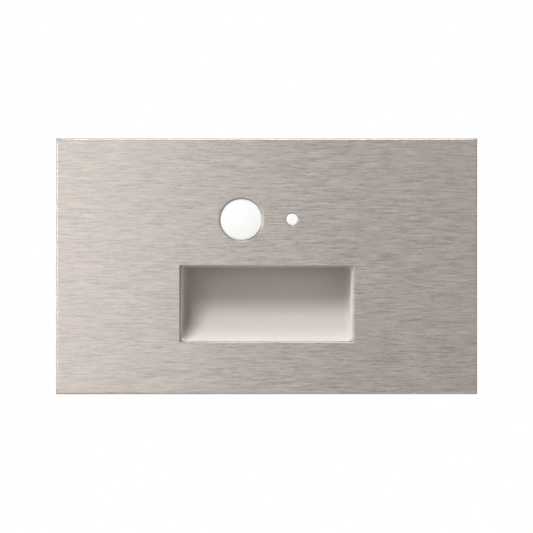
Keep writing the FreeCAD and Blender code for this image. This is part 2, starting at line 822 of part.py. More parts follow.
def front_carrier(p):
    """The moulding that closes the housing and holds scoop, lens, light pipe and controls."""
    body = new_body("front_carrier")
    flange = front_sketch(body, "carrier_flange_outline", p.carrier_back)
    rectangle(flange, *[span(half - p.fit_gap) for half in p.room_half])
    pad(body, "carrier_flange", flange, p.carrier_flange)
    raised = front_sketch(body, "carrier_raised_outline", p.carrier_back)
    rectangle(raised, span(p.carrier_half[0]), span(p.carrier_half[1]))
    pad(body, "carrier_raised", raised, p.carrier_back - p.carrier_front)

    hollow = front_sketch(body, "carrier_hollow_outline", p.carrier_skin_back)
    rectangle(hollow, span(p.carrier_room), (p.hollow_low, p.hollow_top))
    pocket(body, "carrier_hollow", hollow, p.carrier_back - p.carrier_skin_back)
    bosses = front_sketch(body, "carrier_bosses_outline", p.sensor_board_front)
    for side in SIDES:
        circle(bosses, side * p.boss_x, p.boss_z, p.boss_radius)
    pad(body, "carrier_bosses", bosses, p.sensor_board_front - p.carrier_skin_back)

    holes = front_sketch(body, "carrier_holes_outline", p.carrier_front)
    rectangle(holes, span(p.scoop_outer_half + p.fit_gap),
              (p.scoop_low - p.scoop_wall - p.skin_gap, p.ceiling_top + p.fit_gap))
    circle(holes, p.pir_x, p.sensor_height, p.lens_radius)
    circle(holes, p.pipe_x, p.sensor_height, p.pipe_radius + p.close_gap)
    for x in (p.time_trimmer_x, p.lux_trimmer_x):
        circle(holes, x, p.sensor_height, p.knob_radius + p.fit_gap)
    rectangle(holes, centred(p.mode_switch_x, p.lever_width + 2 * (p.lever_travel + p.fit_gap)),
              centred(p.sensor_height, p.lever_height + 2 * p.fit_gap))
    pocket(body, "carrier_holes", holes, p.carrier_back - p.carrier_front)

    screw_holes = front_sketch(body, "carrier_screw_holes_outline", 0)
    for x, z in corner_places(p) + [(-p.column[0], p.earth_screw_height)]:
        circle(screw_holes, x, z, p.case_hole)
    pocket(body, "carrier_screw_holes", screw_holes, p.carrier_flange)
    scoop_bores = front_sketch(body, "carrier_scoop_bores_outline", p.carrier_front)
    for side in SIDES:
        circle(scoop_bores, side * p.scoop_screw_x, p.scoop_middle, p.scoop_screw_radius + p.close_gap)
    pocket(body, "carrier_scoop_bores", scoop_bores, p.scoop_screw_length)
    board_bores = front_sketch(body, "carrier_board_bores_outline",
                               p.sensor_board_front - p.board_screw_length)
    for side in SIDES:
        circle(board_bores, side * p.boss_x, p.boss_z, p.board_screw_radius + p.close_gap)
    pocket(body, "carrier_board_bores", board_bores, p.board_screw_length)
    return body


# ---------------------------------------------------------------- scoop and LED strip

def scoop_space(p, name, wall):
    """The scoop's hollow, or with a wall its outside: a quarter round ramp between drafted sides."""
    half = p.scoop_half + wall
    radius = p.scoop_height + wall
    ramp = doc.addObject("Part::Cylinder", name + "_ramp")
    ramp.Placement = FreeCAD.Placement(V(), FreeCAD.Rotation(V(0, 1, 0), 90))
    ramp.Angle = 90
    bind(ramp, "Radius", radius)
    bind(ramp, "Height", 2 * half)
    for axis, value in zip("xyz", (-half, p.scoop_front, p.scoop_top)):
        bind(ramp, "Placement.Base." + axis, value)
    ceiling = box(name + "_ceiling", span(half), (p.scoop_front, p.scoop_front + radius),
                  (p.scoop_top - wall, p.scoop_top + wall))
    sides = doc.addObject("Part::Wedge", name + "_sides")
    back_half = half - p.scoop_side_draft
    limits = {
        "Xmin": -half, "Xmax": half, "X2min": -back_half, "X2max": back_half,
        "Ymin": p.scoop_front, "Ymax": p.scoop_front + radius,
    }
    for prefix in ("Z", "Z2"):
        limits[prefix + "min"] = p.scoop_top - radius - OVERSHOOT
        limits[prefix + "max"] = p.scoop_top + wall + OVERSHOOT
    for prop, value in limits.items():
        bind(sides, prop, value)
    space = doc.addObject("Part::Common", name)
    space.Base = fuse(name + "_whole", ramp, ceiling) if wall.number else ramp
    space.Tool = sides
    if not wall.number:
        doc.removeObject(ceiling.Name)
    return space


def scoop_reflector(p):
    """The scoop: ramp, sides and ceiling, a front flange and two blocks for the LED board."""
    flange = box("scoop_front_flange", span(p.scoop_flange_half), (p.scoop_front, p.carrier_front),
                 (p.scoop_low - p.scoop_wall - p.scoop_flange_lap, p.ceiling_top + p.scoop_flange_lap))
    blocks = [box(f"scoop_block_{i}", sorted_span(side * p.block_inner, side * p.block_outer),
                  (p.led_front, p.led_back), (p.scoop_top + p.scoop_wall / 2, p.led_board_low))
              for i, side in enumerate(SIDES)]
    outside = fuse("scoop_outside", scoop_space(p, "scoop_shell", p.scoop_wall), flange, *blocks)
    window = box("scoop_light_window", span(p.light_window_half),
                 (p.led_front + p.diffuser_lap, p.led_back - p.diffuser_lap),
                 (p.scoop_top - OVERSHOOT, p.ceiling_top + OVERSHOOT))
    bores = [post(f"scoop_led_bore_{i}", side * p.led_screw_x, p.led_middle,
                  (p.ceiling_top, p.led_board_low + OVERSHOOT), p.board_screw_radius + p.close_gap)
             for i, side in enumerate(SIDES)]
    sinks = []
    for i, side in enumerate(SIDES):
        sinks += scoop_screw_shape(p, f"scoop_sink_{i}", side, p.close_gap, p.scoop_screw_head_height)
    inside = scoop_space(p, "scoop_hollow", lift(0))
    return cut("scoop_reflector", outside, inside, window, *bores, *sinks)


def sorted_span(a, b):
    return (a, b) if a.number < b.number else (b, a)


def scoop_screw_shape(p, name, side, gap, rim):
    """Head cone and shank of a countersunk scoop screw, larger all round by a gap."""
    x = side * p.scoop_screw_x
    head_back = p.scoop_front + rim
    return [
        rod(name + "_head", x, p.scoop_middle, (p.scoop_front, head_back),
            p.scoop_screw_head + gap, p.scoop_screw_radius + gap),
        rod(name + "_shank", x, p.scoop_middle,
            (head_back, p.carrier_front + p.scoop_screw_length - p.fit_gap),
            p.scoop_screw_radius + gap),
    ]


def scoop_screws(p):
    """Two countersunk screws that hold the scoop on the carrier."""
    return group("scoop_screws", [
        cut(f"scoop_screw_{i}",
            fuse(f"scoop_screw_{i}_blank",
                 *scoop_screw_shape(p, f"scoop_screw_{i}", side, lift(0), p.scoop_screw_head_height)),
            box(f"scoop_screw_{i}_slot",
                centred(side * p.scoop_screw_x, SLOT_LENGTH * p.scoop_screw_head),
                (p.scoop_front - OVERSHOOT, p.scoop_front + SLOT_DEPTH * p.scoop_screw_head_height),
                centred(p.scoop_middle, SLOT_WIDTH * p.scoop_screw_head)))
        for i, side in enumerate(SIDES)])


def diffuser_strip(p):
    """An opal strip over the light window in the scoop's ceiling."""
    return box("diffuser_strip", span(p.diffuser_half),
               (p.led_front + p.fit_gap, p.led_back - p.fit_gap),
               (p.ceiling_top, p.ceiling_top + p.diffuser_thickness))


def led_screw_holes(p, name, z):
    return [post(f"{name}_{i}", side * p.led_screw_x, p.led_middle, z,
                 p.board_screw_radius + p.fit_gap) for i, side in enumerate(SIDES)]


def led_board(p):
    """The metal-cored board on the scoop's two blocks."""
    sheet_box = box("led_board_sheet", span(p.led_half), (p.led_front, p.led_back),
                    (p.led_board_low, p.led_board_top))
    holes = led_screw_holes(p, "led_board_hole",
                            (p.led_board_low - OVERSHOOT, p.led_board_top + OVERSHOOT))
    return cut("led_board", sheet_box, *holes)


def led_chips(p):
    """White LEDs in a row under the board, facing down through the diffuser."""
    return group("led_chips", [
        box(f"led_chip_{i}", centred(x, p.led_chip_width), centred(p.led_middle, p.led_chip_depth),
            (p.led_board_low - p.led_chip_height, p.led_board_low))
        for i, x in enumerate(spread(LED_COUNT, p.led_chip_pitch))])


def led_heat_spreader(p):
    """A bent aluminium sheet on the LED board, with a leg behind the scoop and a lead notch."""
    body = new_body("led_heat_spreader")
    profile = sketch_on(body, "spreader_profile", "YZ_Plane", -p.led_half)
    leg_back = p.leg_front + p.spreader_thickness
    leg_low = p.spreader_top - p.spreader_leg
    polygon(profile, [
        (p.led_front, p.led_board_top), (p.leg_front, p.led_board_top), (p.leg_front, leg_low),
        (leg_back, leg_low), (leg_back, p.spreader_top), (p.led_front, p.spreader_top),
    ])
    pad(body, "spreader_bend", profile, 2 * p.led_half)
    notch = front_sketch(body, "spreader_notch_outline", p.leg_front - OVERSHOOT)
    rectangle(notch, centred(lift(0), p.spreader_notch),
              (p.led_lead_z - p.spreader_notch / 2, p.led_board_top))
    pocket(body, "spreader_notch", notch, p.spreader_thickness + 2 * OVERSHOOT)
    holes = sketch_on(body, "spreader_holes_outline", "XY_Plane", p.spreader_top)
    for side in SIDES:
        circle(holes, side * p.led_screw_x, p.led_middle, p.board_screw_radius + p.fit_gap)
    pocket(body, "spreader_holes", holes, p.spreader_thickness)
    return body


def led_board_screws(p):
    """Two screws that clamp spreader and board to the scoop's blocks."""
    screws = []
    for i, side in enumerate(SIDES):
        x = side * p.led_screw_x
        tip = p.ceiling_top + p.close_gap
        shank = post(f"led_screw_{i}_shank", x, p.led_middle, (tip, p.spreader_top),
                     p.board_screw_radius)
        head = post(f"led_screw_{i}_head", x, p.led_middle,
                    (p.spreader_top, p.spreader_top + p.board_screw_head_height), p.board_screw_head)
        head_top = p.spreader_top + p.board_screw_head_height
        groove = box(f"led_screw_{i}_slot", centred(x, SLOT_LENGTH * p.board_screw_head),
                     centred(p.led_middle, SLOT_WIDTH * p.board_screw_head),
                     (head_top - SLOT_DEPTH * p.board_screw_head_height, head_top + OVERSHOOT))
        screws.append(cut(f"led_screw_{i}", fuse(f"led_screw_{i}_blank", shank, head), groove))
    return group("led_board_screws", screws)


def led_leads(p):
    """Two short leads, straight from the LED board through the notch to the driver board."""
    return group("led_leads", [
        rod(f"led_lead_{i}", x, p.led_lead_z, (p.led_back, p.driver_board_front), p.led_lead_radius)
        for i, x in enumerate(spread(2, p.led_lead_pitch))])


# ---------------------------------------------------------------- sensors

def pir_lens(p):
    """A thin moulded lens cap: a crowned face in the plate's hole and a flange behind the plate."""
    body = new_body("pir_lens")
    sketch = sketch_on(body, "lens_outline", "XY_Plane", 0)
    face = p.plate_front + p.lens_recess
    rim = face + p.lens_crown
    inner = p.lens_radius - p.lens_wall
    points = [
        (p.lens_radius, rim),
        (p.lens_radius, p.scoop_front),
        (p.lens_flange, p.scoop_front),
        (p.lens_flange, p.carrier_front),
        (inner, p.carrier_front),
        (inner, rim + p.lens_wall),
        (0, rim + p.lens_wall),
        (0, face),
    ]
    corners = [V(lift(a).number, lift(b).number, 0) for a, b in points]
    lines = [sketch.addGeometry(Part.LineSegment(*pair), False)
             for pair in zip(corners, corners[1:])]
    for i, (across, up) in enumerate(points):
        item, point = (lines[i], 1) if i < len(lines) else (lines[-1], 2)
        hold(sketch, "DistanceX", item, point, across)
        hold(sketch, "DistanceY", item, point, up)
        if 0 < i < len(lines):
            sketch.addConstraint(Sketcher.Constraint("Coincident", lines[i - 1], 2, lines[i], 1))
    crown, radius = p.lens_crown.number, p.lens_radius.number
    sphere = (radius ** 2 + crown ** 2) / (2 * crown)
    half_angle = math.asin(radius / sphere)
    ring = Part.Circle(V(0, face.number + sphere, 0), V(0, 0, 1), sphere)
    arc = sketch.addGeometry(
        Part.ArcOfCircle(ring, -math.pi / 2, half_angle - math.pi / 2), False)
    sketch.addConstraint(Sketcher.Constraint("Coincident", arc, 1, lines[-1], 2))
    sketch.addConstraint(Sketcher.Constraint("Coincident", arc, 2, lines[0], 1))
    sketch.addConstraint(Sketcher.Constraint("PointOnObject", arc, 3, -2))
    revolve(body, "lens_turned", sketch)
    bind(body, "Placement.Base.x", p.pir_x)
    bind(body, "Placement.Base.z", p.sensor_height)
    return body


def pir_shroud(p):
    """A tube that keeps stray light off the motion sensor."""
    inner = p.shroud_radius - p.shroud_wall
    return turned_body("pir_shroud", p.pir_x, p.sensor_height, [
        (inner, p.carrier_skin_back), (p.shroud_radius, p.carrier_skin_back),
        (p.shroud_radius, p.sensor_board_front), (inner, p.sensor_board_front),
    ])


def pir_sensor_can(p):
    """The motion sensor's metal can, with a seat for its window."""
    front = p.sensor_board_front - p.pir_can_height
    can = fuse("pir_can_blank",
               rod("pir_can_cap", p.pir_x, p.sensor_height, (front, p.sensor_board_front),
                   p.pir_can_radius),
               rod("pir_can_foot", p.pir_x, p.sensor_height,
                   (p.sensor_board_front - p.pir_can_rim_height, p.sensor_board_front), p.pir_can_rim))
    seat = box("pir_can_seat", centred(p.pir_x, p.pir_window_width + 2 * p.close_gap),
               (front - OVERSHOOT, front + p.pir_window_depth),
               centred(p.sensor_height, p.pir_window_height + 2 * p.close_gap))
    return cut("pir_sensor_can", can, seat)


def pir_filter_window(p):
    front = p.sensor_board_front - p.pir_can_height
    return box("pir_filter_window", centred(p.pir_x, p.pir_window_width),
               (front, front + p.pir_window_depth), centred(p.sensor_height, p.pir_window_height))


def light_pipe(p):
    """A clear rod from the small hole back to the light cell, with a collar behind the plate."""
    neck = p.pipe_radius - p.close_gap
    return turned_body("light_pipe", p.pipe_x, p.sensor_height, [
        (0, p.plate_front + p.pipe_recess),
        (p.pipe_radius - p.pipe_recess, p.plate_front + p.pipe_recess),
        (p.pipe_radius, p.plate_front + 2 * p.pipe_recess),
        (p.pipe_radius, p.scoop_front),
        (p.pipe_collar, p.scoop_front),
        (p.pipe_collar, p.carrier_front),
        (neck, p.carrier_front),
        (neck, p.sensor_board_front - p.cell_height - p.fit_gap),
        (0, p.sensor_board_front - p.cell_height - p.fit_gap),
    ])


def photocell(p):
    """The light cell that tells day from night."""
    return rod("photocell", p.pipe_x, p.sensor_height,
               (p.sensor_board_front - p.cell_height, p.sensor_board_front), p.cell_radius)


# ---------------------------------------------------------------- sensor board and controls

def sensor_board(p):
    """The upright board behind the sensors and controls, on the carrier's two bosses."""
    body = new_body("sensor_board")
    outline = front_sketch(body, "sensor_board_outline", p.board_back)
    rectangle(outline, span(p.board_half), (p.board_low, p.board_top))
    for side in SIDES:
        circle(outline, side * p.boss_x, p.boss_z, p.board_screw_radius + p.fit_gap)
    pad(body, "sensor_board_sheet", outline, p.board_thickness)
    return body


def sensor_board_chips(p):
    """Controller and regulator behind the sensor board."""
    depth = (p.board_back, p.board_back + p.chip_height)
    return group("sensor_board_chips", [
        box("controller_chip", centred(p.time_trimmer_x, p.trimmer_side),
            depth, centred(p.sensor_height, p.trimmer_side)),
        box("regulator_chip", centred(p.lux_trimmer_x, p.trimmer_side / 2),
            depth, centred(p.sensor_height, p.trimmer_side / 2)),
    ])


def sensor_board_screws(p):
    return board_screws(p, "sensor_board_screws",
                        [(side * p.boss_x, p.boss_z) for side in SIDES], p.board_back)


def trimmer_body(p, name, x):
    """A square trimmer with a bore for its knob's spigot."""
    block = box(name + "_block", centred(x, p.trimmer_side),
                (p.trimmer_front, p.sensor_board_front), centred(p.sensor_height, p.trimmer_side))
    bore = rod(name + "_bore", x, p.sensor_height,
               (p.trimmer_front - OVERSHOOT, p.trimmer_front + p.trimmer_spigot + p.fit_gap),
               p.trimmer_bore)
    return cut(name, block, bore)


def trimmer_knob(p, name, x):
    """A slotted knob that turns in its trimmer and is reached through the carrier."""
    stem = rod(name + "_stem", x, p.sensor_height,
               (p.knob_front, p.trimmer_front - p.skin_gap), p.knob_radius)
    spigot = rod(name + "_spigot", x, p.sensor_height,
                 (p.trimmer_front - 2 * p.skin_gap, p.trimmer_front + p.trimmer_spigot),
                 p.trimmer_bore - p.close_gap)
    groove = box(name + "_slot", centred(x, p.knob_slot_width),
                 (p.knob_front - OVERSHOOT, p.knob_front + p.knob_slot_depth),
                 centred(p.sensor_height, SLOT_LENGTH * p.knob_radius))
    return cut(name, fuse(name + "_blank", stem, spigot), groove)


def mode_switch_body(p):
    """A three-way slide switch with a groove for its lever."""
    block = box("mode_switch_block", centred(p.mode_switch_x, p.switch_width),
                (p.switch_front, p.sensor_board_front), centred(p.sensor_height, p.switch_height))
    groove = box("mode_switch_groove",
                 centred(p.mode_switch_x, p.lever_width + 2 * (p.lever_travel + p.fit_gap)),
                 (p.switch_front - OVERSHOOT, p.switch_front + p.switch_groove_depth),
                 centred(p.sensor_height, p.lever_height + 2 * p.skin_gap))
    return cut("mode_switch_body", block, groove)


def mode_switch_lever(p):
    """The lever, from the groove to just behind the carrier's front."""
    return box("mode_switch_lever", centred(p.mode_switch_x, p.lever_width),
               (p.knob_front, p.switch_front + p.switch_groove_depth - p.fit_gap),
               centred(p.sensor_height, p.lever_height))


def link_places(p):
    return spread(LINK_PIN_COUNT, p.link_pitch)


def board_link_pins(p):
    """Pins from the sensor board to the driver board."""
    return group("board_link_pins", [
        rod(f"link_pin_{i}", x, p.link_height, (p.board_back, p.driver_board_front),
            p.link_pin_radius) for i, x in enumerate(link_places(p))])


def link_header(p):
    """The moulded bar that holds the link pins on the sensor board."""
    bar = box("link_header_bar", centred(lift(0), LINK_PIN_COUNT * p.link_pitch),
              (p.board_back, p.board_back + p.link_header_depth), centred(p.link_height, p.link_pitch))
    holes = [rod(f"link_hole_{i}", x, p.link_height,
                 (p.board_back - OVERSHOOT, p.board_back + p.link_header_depth + OVERSHOOT),
                 p.link_pin_radius + p.close_gap) for i, x in enumerate(link_places(p))]
    return cut("link_header", bar, *holes)


# ---------------------------------------------------------------- driver board

def driver_board(p):
    """The power board across the housing, on its two side columns."""
    body = new_body("driver_board")
    outline = front_sketch(body, "driver_board_outline", p.driver_back)
    rectangle(outline, span(p.driver_half[0]), span(p.driver_half[1]))
    for side in SIDES:
        circle(outline, side * p.column[0], 0, p.board_screw_radius + p.fit_gap)
    pad(body, "driver_board_sheet", outline, p.board_thickness)
    return body


def driver_board_screws(p):
    return board_screws(p, "driver_board_screws",
                        [(side * p.column[0], lift(0)) for side in SIDES], p.driver_back)


def transformer_core(p):
    """A ferrite core with two windows either side of its middle leg."""
    front = p.driver_back + p.coil_overhang
    depth = (front, front + p.core_depth)
    block = box("core_block", centred(p.core_x, p.core_width), depth, centred(lift(0), p.core_height))
    middle = (p.core_leg + p.core_window) / 2
    windows = [box(f"core_window_{i}", centred(p.core_x + side * middle, p.core_window),
                   (front - OVERSHOOT, front + p.core_depth + OVERSHOOT),
                   centred(lift(0), p.core_window_height)) for i, side in enumerate(SIDES)]
    return cut("transformer_core", block, *windows)


def transformer_coil(p):
    """The wound bobbin round the core's middle leg."""
    back = p.driver_back + 2 * p.coil_overhang + p.core_depth
    outer = p.core_leg + 2 * p.core_window - 2 * p.fit_gap
    block = box("coil_block", centred(p.core_x, outer), (p.driver_back, back),
                centred(lift(0), p.core_window_height - 2 * p.fit_gap))
    hole = box("coil_hole", centred(p.core_x, p.core_leg + 2 * p.close_gap),
               (p.driver_back + p.coil_overhang, back - p.coil_overhang),
               centred(lift(0), p.core_window_height + 2 * OVERSHOOT))
    return cut("transformer_coil", block, hole)


def driver_capacitors(p):
    """Two electrolytic capacitors."""
    return group("driver_capacitors", [
        rod(f"capacitor_{i}", p.capacitor_x, side * p.capacitor_z,
            (p.driver_back, p.driver_back + p.capacitor_length), p.capacitor_radius)
        for i, side in enumerate(SIDES)])


def input_choke(p):
    """A drum choke: a waist between two lips."""
    back = p.driver_back + p.choke_length
    return turned_body("input_choke", p.choke_x, p.choke_z, [
        (0, p.driver_back), (p.choke_radius, p.driver_back),
        (p.choke_radius, p.driver_back + p.choke_lip), (p.choke_core, p.driver_back + p.choke_lip),
        (p.choke_core, back - p.choke_lip), (p.choke_radius, back - p.choke_lip),
        (p.choke_radius, back), (0, back),
    ])


def fuse_can(p):
    return rod("fuse", p.fuse_x, p.fuse_z, (p.driver_back, p.driver_back + p.fuse_length),
               p.fuse_radius)


def driver_chips(p):
    """Driver and rectifier in front of the driver board."""
    depth = (p.driver_board_front - p.chip_height, p.driver_board_front)
    return group("driver_chips", [
        box("driver_chip", centred(p.time_trimmer_x, p.trimmer_side), depth,
            centred(lift(0), p.trimmer_side)),
        box("rectifier_chip", centred(p.capacitor_x, p.trimmer_side), depth,
            centred(lift(0), p.trimmer_side / 2)),
    ])


def terminal_places(p):
    return [p.terminal_x + x for x in spread(TERMINAL_COUNT, p.terminal_pitch)]


def terminal_block(p):
    """The supply terminals: line, neutral and earth."""
    back = p.driver_back + p.terminal_depth
    block = box("terminal_housing", centred(p.terminal_x, TERMINAL_COUNT * p.terminal_pitch),
                (p.driver_back, back), centred(p.terminal_z, p.terminal_width))
    wells = [rod(f"terminal_well_{i}", x, p.terminal_z,
                 (back - p.terminal_depth / 2, back + OVERSHOOT), p.terminal_screw + p.close_gap)
             for i, x in enumerate(terminal_places(p))]
    return cut("terminal_block", block, *wells)


def terminal_screws(p):
    back = p.driver_back + p.terminal_depth - p.terminal_screw_sink
    screws = []
    for i, x in enumerate(terminal_places(p)):
        shank = rod(f"terminal_screw_{i}_shank", x, p.terminal_z,
                    (p.driver_back + p.terminal_depth / 2, back), p.terminal_screw)
        groove = box(f"terminal_screw_{i}_slot", centred(x, 2 * (p.terminal_screw + OVERSHOOT)),
                     (back - SLOT_DEPTH * p.terminal_screw_sink, back + OVERSHOOT),
                     centred(p.terminal_z, SLOT_WIDTH * p.terminal_screw))
        screws.append(cut(f"terminal_screw_{i}", shank, groove))
    return group("terminal_screws", screws)


# ---------------------------------------------------------------- assembly

def build():
    p = read_sheet()
    lay_out(p)
    return [
        faceplate(p), faceplate_magnets(p),
        mounting_strap(p), strap_screws(p), earth_screw(p),
        housing(p), rear_cover(p), rear_cover_seal(p), rear_cover_screws(p), cable_grommet(p),
        front_carrier(p), scoop_reflector(p), scoop_screws(p),
        diffuser_strip(p), led_board(p), led_chips(p), led_heat_spreader(p), led_board_screws(p),
        led_leads(p),
        pir_lens(p), pir_shroud(p), pir_sensor_can(p), pir_filter_window(p),
        light_pipe(p), photocell(p),
        sensor_board(p), sensor_board_chips(p), sensor_board_screws(p),
        trimmer_body(p, "time_trimmer_body", p.time_trimmer_x),
        trimmer_knob(p, "time_trimmer_knob", p.time_trimmer_x),
        trimmer_body(p, "lux_trimmer_body", p.lux_trimmer_x),
        trimmer_knob(p, "lux_trimmer_knob", p.lux_trimmer_x),
        mode_switch_body(p), mode_switch_lever(p), board_link_pins(p), link_header(p),
        driver_board(p), driver_board_screws(p), transformer_core(p), transformer_coil(p),
        driver_capacitors(p), input_choke(p), fuse_can(p), driver_chips(p),
        terminal_block(p), terminal_screws(p),
    ]


def check(pieces):
    """Stop before anything is written if a feature failed or a solid is broken."""
    for item in doc.Objects:
        if {"Invalid", "Error"} & set(item.State):
            raise RuntimeError(f"{item.Label} failed: {item.State}")
    for piece in pieces:
        shape = piece.Shape
        if shape.isNull() or not shape.isValid() or not shape.Solids:
            raise RuntimeError(f"{piece.Label} has no sound solid")


def write(pieces):
    os.makedirs("parts", exist_ok=True)
    for piece in pieces:
        piece.Shape.exportStep(f"parts/{piece.Label}.step")
        solids = piece.Shape.Solids
        volume = sum(solid.Volume for solid in solids)
        print(f"{piece.Label}: {len(solids)} solid(s), {volume:.1f} cubic mm")


pieces = build()
doc.recompute()
check(pieces)
write(pieces)
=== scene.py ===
import json
import math

import bmesh
import bpy
from bpy.props import FloatProperty, FloatVectorProperty, IntProperty, PointerProperty
from bpy.types import Operator, Panel, PropertyGroup
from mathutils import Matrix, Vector


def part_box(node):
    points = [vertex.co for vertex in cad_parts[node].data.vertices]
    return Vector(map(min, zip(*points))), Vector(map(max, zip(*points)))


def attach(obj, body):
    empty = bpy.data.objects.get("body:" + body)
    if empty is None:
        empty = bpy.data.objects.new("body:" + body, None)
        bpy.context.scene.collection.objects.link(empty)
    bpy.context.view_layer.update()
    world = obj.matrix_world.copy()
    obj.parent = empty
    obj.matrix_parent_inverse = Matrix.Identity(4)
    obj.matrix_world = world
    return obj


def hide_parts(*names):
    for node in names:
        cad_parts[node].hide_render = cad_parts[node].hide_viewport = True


bl_info = {
    "name": "Step light",
    "version": (1, 0, 0),
    "blender": (4, 5, 0),
    "location": "3D View > Sidebar > Step light",
    "description": "Models and finishes a sensor step light with a scoop reflector",
    "category": "Object",
}

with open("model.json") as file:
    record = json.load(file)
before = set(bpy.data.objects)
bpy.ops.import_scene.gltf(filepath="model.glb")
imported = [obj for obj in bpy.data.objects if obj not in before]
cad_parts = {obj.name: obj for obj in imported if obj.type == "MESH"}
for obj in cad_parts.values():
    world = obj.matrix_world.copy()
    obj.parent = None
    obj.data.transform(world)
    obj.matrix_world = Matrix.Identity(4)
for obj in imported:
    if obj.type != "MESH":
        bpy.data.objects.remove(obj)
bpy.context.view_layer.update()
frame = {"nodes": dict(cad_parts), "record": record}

MM = 0.001
SIDES = (-1, 1)
CORNERS = [(side, end) for side in SIDES for end in SIDES]
UPRIGHT = (math.pi / 2, 0, 0)
WHITE = (1, 1, 1, 1)
BLACK = (0, 0, 0, 1)


# ---------------------------------------------------------------- what a user can change

def length(name, description, millimetres):
    """A length property, shown in the scene's own unit."""
    return FloatProperty(
        name=name, description=description, default=millimetres * MM, min=-1.0, max=1.0, unit="LENGTH",
        precision=5)


def colour(name, description, *value):
    """A colour property."""
    return FloatVectorProperty(
        name=name, description=description, default=value, subtype="COLOR", size=3, min=0.0, max=1.0)


def lamp_power(name, description, watts):
    """A lamp's power."""
    return FloatProperty(name=name, description=description, default=watts, min=0.0, unit="POWER")


class StepLightSizes(PropertyGroup):
    """Sizes of the modelled pieces."""

    skin: length("Plate skin", "Thickness of the faceplate's front", 1.7)
    rim: length("Plate rim", "Thickness of the faceplate's turned edge", 1.8)
    edge_round: length("Edge round", "Round on the faceplate's outer front edge", 0.5)
    opening_half: length("Opening half width", "Half the width of the scoop's opening", 24.0)
    opening_top: length("Opening top", "Height of the opening's upper edge", 0.1)
    opening_low: length("Opening low", "Height of the opening's lower edge", -20.9)
    opening_round: length("Opening round", "Round on the edges of the openings", 0.35)
    lens_hole: length("Lens hole", "Radius of the motion sensor's hole", 5.875)
    pipe_hole: length("Pipe hole", "Radius of the daylight sensor's hole", 1.725)
    pipe_round: length("Pipe hole round", "Round on the small hole's edge", 0.25)
    hole_cell: length("Hole margin", "Half the square of sheet laid out round each hole", 6.5)
    lens_radius: length("Lens radius", "Radius of the motion sensor's lens", 5.8)
    lens_wall: length("Lens wall", "Wall of the lens", 0.7)
    lens_crown: length("Lens crown", "How far the middle of the lens stands forward", 0.35)
    pipe_radius: length("Pipe radius", "Radius of the light pipe", 1.68)
    grommet_neck: length("Grommet neck", "Radius of the grommet in the rear cover", 6.0)
    grommet_bore: length("Grommet bore", "Radius of the grommet's bore", 3.5)
    magnet_ring: length("Magnet ring", "Inner radius of the rings that hold the magnets", 4.05)
    magnet_ring_wall: length("Ring wall", "Wall of the magnet rings", 1.2)
    magnet_ring_relief: length("Ring relief", "How far a ring stays short of the strap", 0.4)
    mouth_half: length("Mouth half width", "Half the width of the scoop at its mouth", 23.75)
    mouth_top: length("Mouth top", "Height of the scoop's ceiling", -0.1)
    mouth_low: length("Mouth low", "Height of the ramp's lower end", -20.85)
    side_draft: length("Side draft", "How far each side closes in towards the back", 0.4)
    scoop_wall: length("Scoop wall", "Wall of the scoop", 1.0)
    scoop_round: length("Scoop round", "Round between the ramp and its sides", 1.8)
    ceiling_round: length("Ceiling round", "Round along the scoop's ceiling", 0.3)
    mouth_round: length("Mouth round", "Round on the edge of the scoop's mouth", 0.22)
    flange_half: length("Flange half width", "Half the width of the scoop's flange", 27.8)
    flange_lap: length("Flange lap", "How far the flange runs past the mouth", 2.0)
    window_half: length("Light window", "Half the width of the window under the LED strip", 18.0)
    window_front: length("Window front", "Front edge of the light window", 3.7)
    window_back: length("Window back", "Back edge of the light window", 11.3)
    block_inner: length("LED block inner", "Inner face of the blocks under the LED board", 19.4)
    block_outer: length("LED block outer", "Outer face of the blocks under the LED board", 22.6)
    case_head: length("Case screw head", "Head radius of the larger screws", 2.4)
    case_head_height: length("Case head height", "Head height of the larger screws", 1.5)
    case_shank: length("Case screw shank", "Shank radius of the larger screws", 1.45)
    board_head: length("Board screw head", "Head radius of the small screws", 1.8)
    board_head_height: length("Board head height", "Head height of the small screws", 1.0)
    board_shank: length("Board screw shank", "Shank radius of the small screws", 1.0)
    ramp_steps: IntProperty(
        name="Ramp steps", description="Faces along the scoop's ramp", default=24, min=8, max=200)
    turned_sides: IntProperty(
        name="Turned sides", description="Faces round a large turned piece", default=96, min=16,
        max=256)


class StepLightFinishes(PropertyGroup):
    """Colours of the finishes."""

    nickel: colour("Satin nickel", "Brushed faceplate", 0.308, 0.278, 0.257)
    scoop: colour("Scoop", "Matt powder coat of the scoop", 0.72, 0.682, 0.648)
    opal: colour("Opal white", "Sensor lens, light pipe and diffuser", 0.86, 0.86, 0.85)
    black: colour("Moulded black", "Housing and rear cover", 0.022, 0.022, 0.024)
    rubber: colour("Rubber", "Grommet and seal", 0.012, 0.012, 0.013)
    carrier: colour("Carrier grey", "Moulding behind the faceplate", 0.26, 0.26, 0.27)
    zinc: colour("Zinc", "Strap and screws", 0.50, 0.50, 0.49)
    brass: colour("Brass", "Earth screw", 0.62, 0.42, 0.16)
    board: colour("Board green", "Printed boards", 0.018, 0.115, 0.045)


